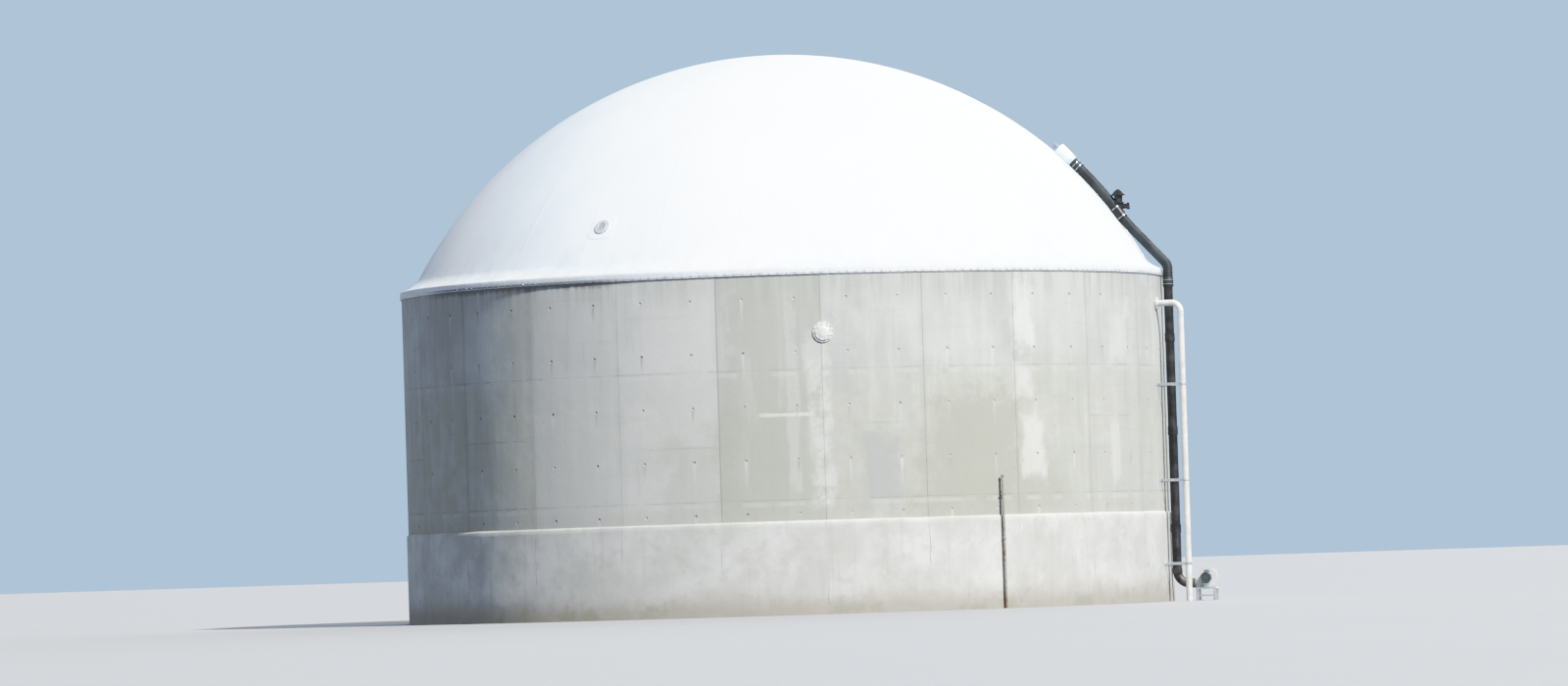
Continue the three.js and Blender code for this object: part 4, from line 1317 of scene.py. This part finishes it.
def air_inlet():
    """The membrane sleeve that the hose slips into, its welded patch and its end fitting."""
    path = hose_path()
    slope = (path[0] - path[1]).normalized()
    place = along_line(path[0] + slope * SEAT_GAP, path[0] + slope)
    levels = [
        (0.0, 0.131), (0.004, 0.134), (0.075, 0.1345), (0.10, 0.138), (0.16, 0.146),
        (0.24, 0.149), (0.40, 0.15), (0.455, 0.147), (0.473, 0.138), (0.48, 0.12),
    ]
    rings = []
    for height, radius in levels:
        gathered = max(0.0, 1 - abs(height - 0.12) / 0.045)

        def folded(share):
            return min(radius + 0.005 * gathered * math.sin(2 * math.pi * share * 14), COLLAR_RADIUS)

        rings.append(circle(folded, 72, height))
    sleeve = Shape()
    sleeve.loft(rings, 0, place)
    make_piece("inlet_sleeve", sleeve, [HEM_WHITE], ["inlet_collar"], crease=60)

    straps = Shape()
    for height in (0.03, 0.06):
        band_clamp(straps, moved(place, z=height), 0.1355, 2.3)
    make_piece("inlet_straps", straps, [STAINLESS])

    middle = HOSE_TOP_ANGLE - math.degrees(COLLAR_LENGTH / 2 / SPHERE_RADIUS)
    weld_patch("inlet_patch", middle, AIR_AZIMUTH, 0.33, 0.48)

    end = Shape()
    base = moved(place, z=COLLAR_LENGTH + 2 * SEAT_GAP)
    flange = 0.012
    profile = [
        (0.060, 0.0), (CAP_RADIUS, 0.0), (CAP_RADIUS, flange), (0.064, 0.016),
        (0.062, 0.085), (0.076, 0.088), (0.078, 0.128), (0.068, CAP_LENGTH),
    ]
    end.lathe(base, profile, 40)
    end.bolt_ring(moved(base, z=flange), 0.074, 8, 0.010, 1)
    make_piece("inlet_end", end, [GREY_PLASTIC, STAINLESS], ["inlet_cap"])


def gas_pipe():
    """White steel pipe from the wall, with welds at its bend and a bolted wall flange."""
    corners = [
        around(WALL_RADIUS + GAS_FLANGE + SEAT_GAP, GAS_AZIMUTH, GAS_HEIGHT),
        around(GAS_LINE, GAS_AZIMUTH, GAS_HEIGHT),
        around(GAS_LINE, GAS_AZIMUTH, 0.0),
    ]
    pipe = Shape()
    pipe.tube(bent_path(corners, [GAS_BEND], 0.3), GAS_RADIUS, 32)
    bead = [
        (GAS_RADIUS - 0.002, -0.005), (GAS_RADIUS + 0.003, -0.002),
        (GAS_RADIUS + 0.003, 0.002), (GAS_RADIUS - 0.002, 0.005),
    ]
    welds = [on_wall(GAS_LINE - GAS_BEND, GAS_AZIMUTH, GAS_HEIGHT)]
    welds += [upright_at(GAS_LINE, GAS_AZIMUTH, height) for height in GAS_WELD_HEIGHTS]
    for place in welds:
        pipe.lathe(place, bead, 40, looped=True)
    rim = GAS_FLANGE_RADIUS
    bolted = 0.022
    neck = [
        (GAS_RADIUS, 0.0005), (rim - 0.003, 0.0005), (rim, 0.003), (rim, 0.019), (rim - 0.003, bolted),
        (GAS_RADIUS + 0.02, bolted), (GAS_RADIUS + 0.004, 0.05), (GAS_RADIUS - 0.002, 0.052),
    ]
    counter = on_wall(WALL_RADIUS + GAS_FLANGE, GAS_AZIMUTH, GAS_HEIGHT)
    pipe.lathe(counter, neck, 48, looped=True)
    make_piece("gas_pipe_run", pipe, [WHITE_PAINT], ["gas_pipe"], crease=40)

    plate = Shape()
    face = on_wall(WALL_RADIUS, GAS_AZIMUTH, GAS_HEIGHT)
    plate.lathe(face, [(rim, -0.005), (rim, GAS_FLANGE - 0.002), (rim - 0.002, GAS_FLANGE)], 48)
    plate.bolt_ring(moved(counter, z=bolted), rim - 0.026, 8, 0.024, 1, math.pi / 8)
    make_piece("gas_wall_flange", plate, [ZINC, STAINLESS], ["gas_flange"])


def pipe_clamp(shape, line, azimuth, height, radius, start, half):
    """An angled arm from the bar to a pipe, and a two-part clamp with a bolt at each side."""
    place = on_wall(0.0, azimuth, height)
    reach = line - radius - 0.012
    shape.block(place, (-0.02, -half, start), (-0.013, half, reach))
    shape.block(place, (-0.02, -half, start), (0.02, -half + 0.007, reach))
    shape.sleeve(upright_at(line, azimuth, height), radius + 0.0005, radius + 0.009, 0.05)
    for side in (-1, 1):
        near = side * (radius + 0.006)
        far = side * (radius + 0.042)
        for depth in (-0.010, 0.003):
            shape.block(place, (near, -0.025, line + depth), (far, 0.025, line + depth + 0.007))
        across = side * (radius + 0.026)
        shape.bolt(moved(place, across, 0, line + 0.010), 0.015, 1)
        shape.bolt(turned(moved(place, across, 0, line - 0.010), math.pi, "X"), 0.015, 1)


def pipe_support(number, height):
    """A bar bolted to the wall, with a clamp on an arm for each pipe."""
    on_foot = height < FOOT_HEIGHT
    face = FOOT_RADIUS if on_foot else WALL_RADIUS
    back = face - (0.01 if on_foot else 0.004)
    proud = face + 0.012
    half = 0.035
    shape = Shape()
    outline = cut_section(back, proud, height - half, height + half, 0.002)
    shape.sweep(outline, GAS_AZIMUTH - 1, AIR_AZIMUTH + 1, 10)
    for azimuth in (GAS_AZIMUTH - 0.6, GAS_AZIMUTH + 1.5, AIR_AZIMUTH - 1.5, AIR_AZIMUTH + 0.6):
        place = on_wall(proud, azimuth, height)
        shape.bolt(place, 0.019, 1)
        shape.lathe(place, [(0.006, 0), (0.006, 0.017), (0.005, 0.018)], 12, 1)
    pipe_clamp(shape, AIR_LINE, AIR_AZIMUTH, height, AIR_RADIUS, proud - 0.002, half)
    pipe_clamp(shape, GAS_LINE, GAS_AZIMUTH, height, GAS_RADIUS, proud - 0.002, half)
    replaced = [f"pipe_bracket_{number}"]
    make_piece(f"pipe_support_{number}", shape, [ZINC, STAINLESS], replaced)


def wall_port():
    """Round port: a plate anchored to the wall and a bolted, slightly dished cover."""
    plate = Shape()
    face = on_wall(WALL_RADIUS, PORT_AZIMUTH, PORT_HEIGHT)
    edge = PORT_FLANGE_RADIUS
    top = PORT_FLANGE
    plate.lathe(face, [(edge, -0.006), (edge, top - 0.004), (edge - 0.004, top)], 72)
    plate.bolt_ring(moved(face, z=top), edge - 0.022, 12, 0.020, 1, 0.1)
    make_piece("port_plate", plate, [WHITE_PAINT, STAINLESS], ["port_flange"])

    cover = Shape()
    base = moved(face, z=top + SEAT_GAP)
    wide = PORT_COVER_RADIUS
    flat = 0.030
    cover.lathe(base, [(wide - 0.006, 0), (wide - 0.004, 0.005)], 72, 2)
    profile = [
        (wide - 0.002, 0.005), (wide, 0.008), (wide, flat - 0.003), (wide - 0.003, flat),
        (wide - 0.058, flat), (wide - 0.072, 0.037), (wide - 0.095, 0.042), (0.03, PORT_COVER - 0.001),
    ]
    cover.lathe(base, profile, 72)
    cover.bolt_ring(moved(base, z=flat), wide - 0.026, 8, 0.018, 1, 0.2)
    make_piece("port_lid", cover, [WHITE_PAINT, STAINLESS, GASKET], ["port_cover"])


def sight_window():
    """Round window near the dome's foot: ring, bolts, glass and its membrane patch."""
    down = down_angle_at(WINDOW_HEIGHT)
    weld_patch("window_patch", down, WINDOW_AZIMUTH, 0.34, 0.34)
    place = on_dome(SPHERE_RADIUS, down, WINDOW_AZIMUTH)
    ring = Shape()
    edge = WINDOW_RADIUS
    top = WINDOW_THICKNESS
    profile = [
        (0.098, -0.03), (edge - 0.006, -0.03), (edge - 0.004, -0.006), (edge, 0.0), (edge, top - 0.014),
        (edge - 0.004, top - 0.010), (0.125, top - 0.008), (0.118, top), (0.104, top), (0.100, top - 0.004),
    ]
    ring.lathe(place, profile, 72, looped=True)
    ring.bolt_ring(moved(place, z=top - 0.0105), 0.158, 12, 0.014, 1, 0.13)
    ring.lathe(place, [(0.101, top - 0.016), (0.101, top - 0.010), (0.03, top - 0.009)], 60, 2)
    finishes = [PALE_PLASTIC, STAINLESS, GLASS]
    make_piece("sight_window_ring", ring, finishes, ["sight_window"])


def standpipe():
    """Old zinc pipe up from the ground, with a socket joint and a screwed cap, held by a clip."""
    place = Matrix.Translation(around(STANDPIPE_LINE, STANDPIPE_AZIMUTH, 0.0))
    radius = STANDPIPE_RADIUS
    socket = STANDPIPE_SOCKET
    top = STANDPIPE_HEIGHT
    cap = top - 0.045
    profile = [
        (radius, 0.0), (radius, 0.4), (radius, 1.0), (radius, socket - 0.035),
        (radius + 0.004, socket - 0.033), (radius + 0.006, socket - 0.028),
        (radius + 0.006, socket + 0.028), (radius + 0.004, socket + 0.033),
        (radius, socket + 0.035), (radius, 2.2), (radius, cap - 0.034),
    ]
    for turn in range(6):
        height = cap - 0.032 + turn * 0.005
        profile += [(radius - 0.0005, height), (radius - 0.002, height + 0.0025)]
    profile += [
        (radius + 0.006, cap), (radius + 0.008, cap + 0.003), (radius + 0.008, top - 0.010),
        (radius + 0.004, top - 0.003), (radius - 0.012, top),
    ]
    pipe = Shape()
    pipe.lathe(place, profile, 32)
    make_piece("standpipe_run", pipe, [RUST], ["standpipe"], crease=40)

    clip = Shape()
    clip.sleeve(moved(place, z=CLIP_HEIGHT), radius + 0.0005, radius + 0.007, 0.038)
    wall = on_wall(0.0, STANDPIPE_AZIMUTH, CLIP_HEIGHT)
    plate = WALL_RADIUS + 0.008
    near = STANDPIPE_LINE - radius - 0.006
    front = STANDPIPE_LINE + 0.008
    clip.block(wall, (-0.011, -0.019, WALL_RADIUS - 0.002), (0.011, 0.019, near))
    clip.block(wall, (-0.045, -0.06, WALL_RADIUS - 0.004), (0.045, 0.06, plate))
    for side in (-1, 1):
        clip.bolt(moved(wall, 0, side * 0.042, plate), 0.015)
    for side in (-1, 1):
        far = (side * (radius + 0.034), 0.019, front)
        clip.block(wall, (side * (radius + 0.006), -0.019, STANDPIPE_LINE - 0.008), far)
        clip.bolt(moved(wall, side * (radius + 0.021), 0, front), 0.013)
    make_piece("standpipe_holder", clip, [RUST], ["standpipe_clip"])


# The blower's own frame: x away from the tank, y along the shaft towards the intake
BLOWER = moved(Matrix.Rotation(math.radians(AIR_AZIMUTH), 4, "Z"), BLOWER_LINE)
# Half the width between the scroll's side plates, and over them
CASE_HALF = 0.107
PLATE_HALF = 0.112


def shaft_place(distance, towards):
    """A frame on the blower's shaft whose z runs along it: -1 towards the intake, 1 the motor."""
    centre = Vector((0, distance, SHAFT_HEIGHT))
    return BLOWER @ axes_at(centre, Vector((towards, 0, 0)), UP, Vector((0, -towards, 0)))


def scroll_outline(shrink):
    """The side view of the blower's scroll with its neck, as (x, height)."""
    low = HOUSING_LOW + shrink
    radius = HOUSING_RADIUS - shrink
    neck_top = HOUSING_LOW + NECK_HEIGHT - shrink
    outline = [(-NECK_LENGTH, low)]
    for step in range(41):
        x, rise = polar(radius, math.radians(-90 + 270 * step / 40))
        outline.append((x, SHAFT_HEIGHT + rise))
    return outline + [(-radius, neck_top), (-NECK_LENGTH, neck_top)]


def blower_case():
    """Scroll housing with bolted side plates and a flanged neck at the air pipe."""
    shape = Shape()
    sideways = BLOWER @ axes_at(Vector((0, 0, 0)), Vector((1, 0, 0)), UP, Vector((0, -1, 0)))
    shape.prism(sideways, scroll_outline(0.020), -CASE_HALF, CASE_HALF)
    screw_circle = HOUSING_RADIUS - 0.010
    for side in (-1, 1):
        low, high = sorted((side * CASE_HALF, side * PLATE_HALF))
        shape.prism(sideways, scroll_outline(0.0), low, high, 0.0012)
        flip = 0 if side > 0 else math.pi
        for step in range(16):
            x, rise = polar(screw_circle, math.radians(-80 + 250 * step / 15))
            spot = moved(sideways, x, SHAFT_HEIGHT + rise, side * PLATE_HALF)
            shape.screw(turned(spot, flip, "X"), 0.0085, 1)
        hub = turned(moved(sideways, 0, SHAFT_HEIGHT, side * 0.110), flip, "X")
        shape.lathe(hub, [(0.13, 0.0), (0.13, 0.003), (0.126, 0.005)], 48)
    neck_face = -NECK_LENGTH + 0.012
    tall = NECK_HEIGHT / 2 + 0.008
    low = (-NECK_LENGTH, -HALF_WIDTH, AIR_FOOT - tall)
    shape.block(BLOWER, low, (neck_face, HALF_WIDTH, AIR_FOOT + tall))
    for across in (-0.1, 0.1):
        for height in (-0.1, 0.0, 0.1):
            spot = moved(BLOWER, neck_face, across, AIR_FOOT + height)
            shape.bolt(turned(spot, QUARTER, "Y"), 0.011, 1)
    cuff = on_wall(BLOWER_LINE - NECK_LENGTH - 0.035, AIR_AZIMUTH, AIR_FOOT)
    cuff_radius = AIR_RADIUS + 0.006
    shape.sleeve(cuff, AIR_RADIUS - 0.001, cuff_radius, 0.068, 2)
    finishes = [WHITE_PAINT, STAINLESS, GASKET]
    make_piece("blower_case", shape, finishes, ["blower_housing"])
    bands = Shape()
    for shift in (-0.018, 0.018):
        band_clamp(bands, moved(cuff, z=shift), cuff_radius, 1.0)
    make_piece("blower_cuff_clamps", bands, [STAINLESS])


def blower_motor():
    """Finned motor with its end shields, slotted fan cowl, terminal box and feet."""
    shape = Shape()
    place = shaft_place(-HALF_WIDTH - SEAT_GAP, 1)
    cowl = MOTOR_RADIUS
    shield = 0.118
    lip = 0.112
    grille = 0.300
    shape.lathe(place, [(shield, 0.0), (shield, 0.022), (lip, 0.026)], 48)
    shape.lathe(place, [(MOTOR_BODY, 0.02), (MOTOR_BODY, 0.235)], 48)
    for fin in range(MOTOR_FINS):
        spoke = turned(place, 2 * math.pi * fin / MOTOR_FINS)
        shape.block(spoke, (MOTOR_BODY - 0.004, -0.0022, 0.03), (0.125, 0.0022, 0.225), 0.001)
    shape.lathe(place, [(shield, 0.226), (0.120, 0.228), (0.120, 0.236)], 48)
    cowl_profile = [
        (lip, 0.236), (cowl - 0.002, 0.236), (cowl, 0.240), (cowl, 0.292),
        (cowl - 0.008, grille + 0.004), (shield, grille + 0.006), (shield, grille + 0.002),
        (lip, grille),
    ]
    shape.lathe(place, cowl_profile, 60, looped=True)
    shape.lathe(place, [(lip, 0.262), (lip, 0.270)], 48, 2)
    for radius in (0.026, 0.048, 0.070, 0.092):
        ring = cut_section(radius, radius + 0.008, grille, grille + 0.006)
        shape.lathe(place, ring, 48, looped=True)
    for index in range(6):
        spoke = turned(place, 2 * math.pi * index / 6)
        shape.block(spoke, (0.0, -0.004, grille), (0.116, 0.004, grille + 0.0045), 0.001)
    shape.block(place, (-0.055, 0.100, 0.075), (0.055, 0.165, 0.185), 0.006)
    shape.block(place, (-0.060, 0.160, 0.070), (0.060, 0.176, 0.190), 0.004)
    for x in (-0.048, 0.048):
        for z in (0.082, 0.178):
            shape.screw(turned(moved(place, x, 0.176, z), -QUARTER, "X"), 0.008, 1)
    gland = turned(moved(place, 0.055, 0.13, 0.13), QUARTER, "Y")
    gland_profile = [(0.015, 0), (0.015, 0.012), (0.012, 0.014), (0.012, 0.03), (0.006, 0.034)]
    shape.lathe(gland, gland_profile, 6, 2)
    for z in (0.07, 0.19):
        shape.block(place, (-0.055, -MOTOR_RADIUS, z - 0.016), (0.055, -0.09, z + 0.016), 0.004)
    finishes = [MOTOR_PAINT, STAINLESS, GASKET]
    make_piece("blower_motor_unit", shape, finishes, ["blower_motor"])


def blower_filter():
    """Pleated intake filter between a base ring and an end cap."""
    shape = Shape()
    place = shaft_place(HALF_WIDTH + SEAT_GAP, -1)
    rim = INTAKE_RADIUS
    shape.lathe(place, [(0.136, 0.0), (rim, 0.003), (rim, 0.016), (0.136, 0.019)], 60)

    def pleated(share):
        return 0.131 if round(share * 2 * PLEATS) % 2 else 0.119

    shape.loft([circle(pleated, 2 * PLEATS, height) for height in (0.017, 0.146)], 1, place)
    for height in (0.05, 0.08, 0.11):
        shape.lathe(place, cut_section(0.1315, 0.1335, height, height + 0.004), 60, 2, looped=True)
    cap = [(0.136, 0.144), (rim, 0.147), (rim, 0.158), (0.134, 0.164), (0.05, 0.1655), (0.045, 0.1675)]
    shape.lathe(place, cap, 60)
    shape.screw(moved(place, z=0.1645), 0.013, 2)
    finishes = [GREY_PLASTIC, FILTER_FELT, STAINLESS]
    make_piece("blower_intake_filter", shape, finishes, ["blower_intake"])


def blower_frame():
    """Galvanised stand: deck on four box legs with base plates, rails and a motor saddle."""
    shape = Shape()
    channel = 0.04
    leg = 0.06
    plate = 0.11
    plate_top = 0.008
    anchor = 0.025
    deck_top = HOUSING_LOW - SEAT_GAP
    deck_low = deck_top - channel
    sheet_low = deck_top - 0.006
    wide = HOUSING_RADIUS
    near = HALF_WIDTH
    far = -(HALF_WIDTH + MOTOR_LENGTH)
    shape.block(BLOWER, (-wide, far, sheet_low), (wide, near, deck_top), 0.0015)
    for y in (far, near - channel):
        shape.block(BLOWER, (-wide, y, deck_low), (wide, y + channel, sheet_low), 0.003)
    for x in (-wide, wide - channel):
        high = (x + channel, near - channel, sheet_low)
        shape.block(BLOWER, (x, far + channel, deck_low), high, 0.003)

    def footing(leg_low, on_low_side):
        """Where a base plate starts and its anchor bolt stands, both reaching inwards from a leg."""
        if on_low_side:
            return leg_low, leg_low + plate - anchor
        return leg_low + leg - plate, leg_low + leg - plate + anchor

    for x in (-wide, wide - leg):
        for y in (far, near - leg):
            shape.block(BLOWER, (x, y, 0.006), (x + leg, y + leg, deck_low), 0.005)
            plate_x, bolt_x = footing(x, x == -wide)
            plate_y, bolt_y = footing(y, y == far)
            shape.block(BLOWER, (plate_x, plate_y, 0.0), (plate_x + plate, plate_y + plate, plate_top))
            shape.bolt(moved(BLOWER, bolt_x, bolt_y, plate_top), 0.017, 1)
    for y in (far + 0.02, near - 0.04):
        shape.block(BLOWER, (leg - wide, y, 0.1), (wide - leg, y + 0.02, 0.13), 0.002)
    saddle_top = SHAFT_HEIGHT - MOTOR_RADIUS - SEAT_GAP
    middle = -(HALF_WIDTH + 0.13)
    for y in (middle - 0.08, middle + 0.04):
        shape.block(BLOWER, (-0.06, y, deck_top), (0.06, y + 0.04, saddle_top), 0.003)
    saddle_foot = deck_top + 0.008
    shape.block(BLOWER, (-0.075, middle - 0.1, deck_top), (0.075, middle + 0.1, saddle_foot))
    for x in (-0.068, 0.068):
        for y in (middle - 0.085, middle + 0.085):
            shape.screw(moved(BLOWER, x, y, saddle_foot), 0.010, 1)
    make_piece("blower_frame", shape, [ZINC, STAINLESS], ["blower_stand"])


for number in range(1, SEGMENTS + 1):
    wall_segment(number)
for number in range(1, FOOT_PIECES + 1):
    foot_band(number)
for number in range(1, RAIL_PIECES + 1):
    rim_rail(number)
gas_dome()
dome_hem()
clamp_bars()
air_pipe()
air_hose()
air_inlet()
gas_pipe()
for number, height in enumerate(BRACKETS, 1):
    pipe_support(number, height)
wall_port()
sight_window()
standpipe()
blower_case()
blower_motor()
blower_filter()
blower_frame()

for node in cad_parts.values():
    node.data.materials.clear()
    node.data.materials.append(CONCRETE)


def set_the_stage():
    """A wide floor just below the ground line."""
    low = -0.002
    corners = [(x * STAGE_REACH, y * STAGE_REACH, low) for x, y in ((-1, -1), (1, -1), (1, 1), (-1, 1))]
    mesh = bpy.data.meshes.new("stage_floor")
    mesh.from_pydata(corners, [], [[0, 1, 2, 3]])
    mesh.materials.append(floor_grey())
    floor = new_object("stage_floor", mesh)
    floor.visible_diffuse = False


def sun_lamp(name, azimuth, elevation, strength, width, tone):
    lamp = bpy.data.lights.new(name, "SUN")
    lamp.energy = strength
    lamp.angle = math.radians(width)
    lamp.color = tone
    holder = new_object(name, lamp)
    rise = math.radians(elevation)
    away = radial(azimuth) * math.cos(rise) + UP * math.sin(rise)
    holder.rotation_mode = "QUATERNION"
    holder.rotation_quaternion = away.to_track_quat("Z", "Y")


def light_the_scene():
    """A soft key from the sun's side of the photograph, a weak light behind and a pale sky."""
    sun_lamp("key", SUN_AZIMUTH, SUN_ELEVATION, 4.5, 3.5, (1.0, 0.975, 0.94))
    sun_lamp("back", 66.0, 20.0, 1.1, 40.0, (0.92, 0.96, 1.0))
    world = bpy.data.worlds.new("studio")
    world.use_nodes = True
    tree = world.node_tree
    fill = tree.nodes["Background"]
    seen = tree.nodes.new("ShaderNodeBackground")
    skies = ((fill, (0.545, 0.597, 0.72, 1.0), 0.45), (seen, (0.395, 0.545, 0.715, 1.0), 0.85))
    for sky, tone, strength in skies:
        sky.inputs["Color"].default_value = tone
        sky.inputs["Strength"].default_value = strength
    path = tree.nodes.new("ShaderNodeLightPath")
    chosen = tree.nodes.new("ShaderNodeMixShader")
    for number, output in enumerate((path.outputs["Is Diffuse Ray"], seen.outputs[0], fill.outputs[0])):
        tree.links.new(output, chosen.inputs[number])
    tree.links.new(chosen.outputs[0], tree.nodes["World Output"].inputs[0])
    bpy.context.scene.world = world


def set_the_tone():
    """The photograph's response: mid tones lifted a little, under soft whites."""
    view = bpy.context.scene.view_settings
    view.view_transform = "Standard"
    view.use_curve_mapping = True
    view.curve_mapping.white_level = (TONE_WHITE, TONE_WHITE, TONE_WHITE)
    curve = view.curve_mapping.curves[3]
    for light, shown in TONE_CURVE:
        curve.points.new(light / TONE_WHITE, shown)
    view.curve_mapping.update()


def place_camera():
    """The photograph's low, distant viewpoint, with its slight roll."""
    data = bpy.data.cameras.new("camera")
    data.sensor_width = SENSOR
    data.lens = PIXELS_PER_METRE * CAMERA_DISTANCE / FRAME_WIDTH * SENSOR
    data.clip_start = 1.0
    data.clip_end = 3000.0
    camera = new_object("camera", data)
    place = Vector((0.0, -CAMERA_DISTANCE, EYE_HEIGHT))
    aim = Vector((0.0, 0.0, AIM_HEIGHT))
    facing = (aim - place).to_track_quat("-Z", "Y").to_matrix().to_4x4()
    roll = Matrix.Rotation(math.radians(CAMERA_ROLL), 4, "Z")
    camera.matrix_world = Matrix.Translation(place) @ facing @ roll
    bpy.context.scene.camera = camera


set_the_stage()
light_the_scene()
place_camera()
set_the_tone()
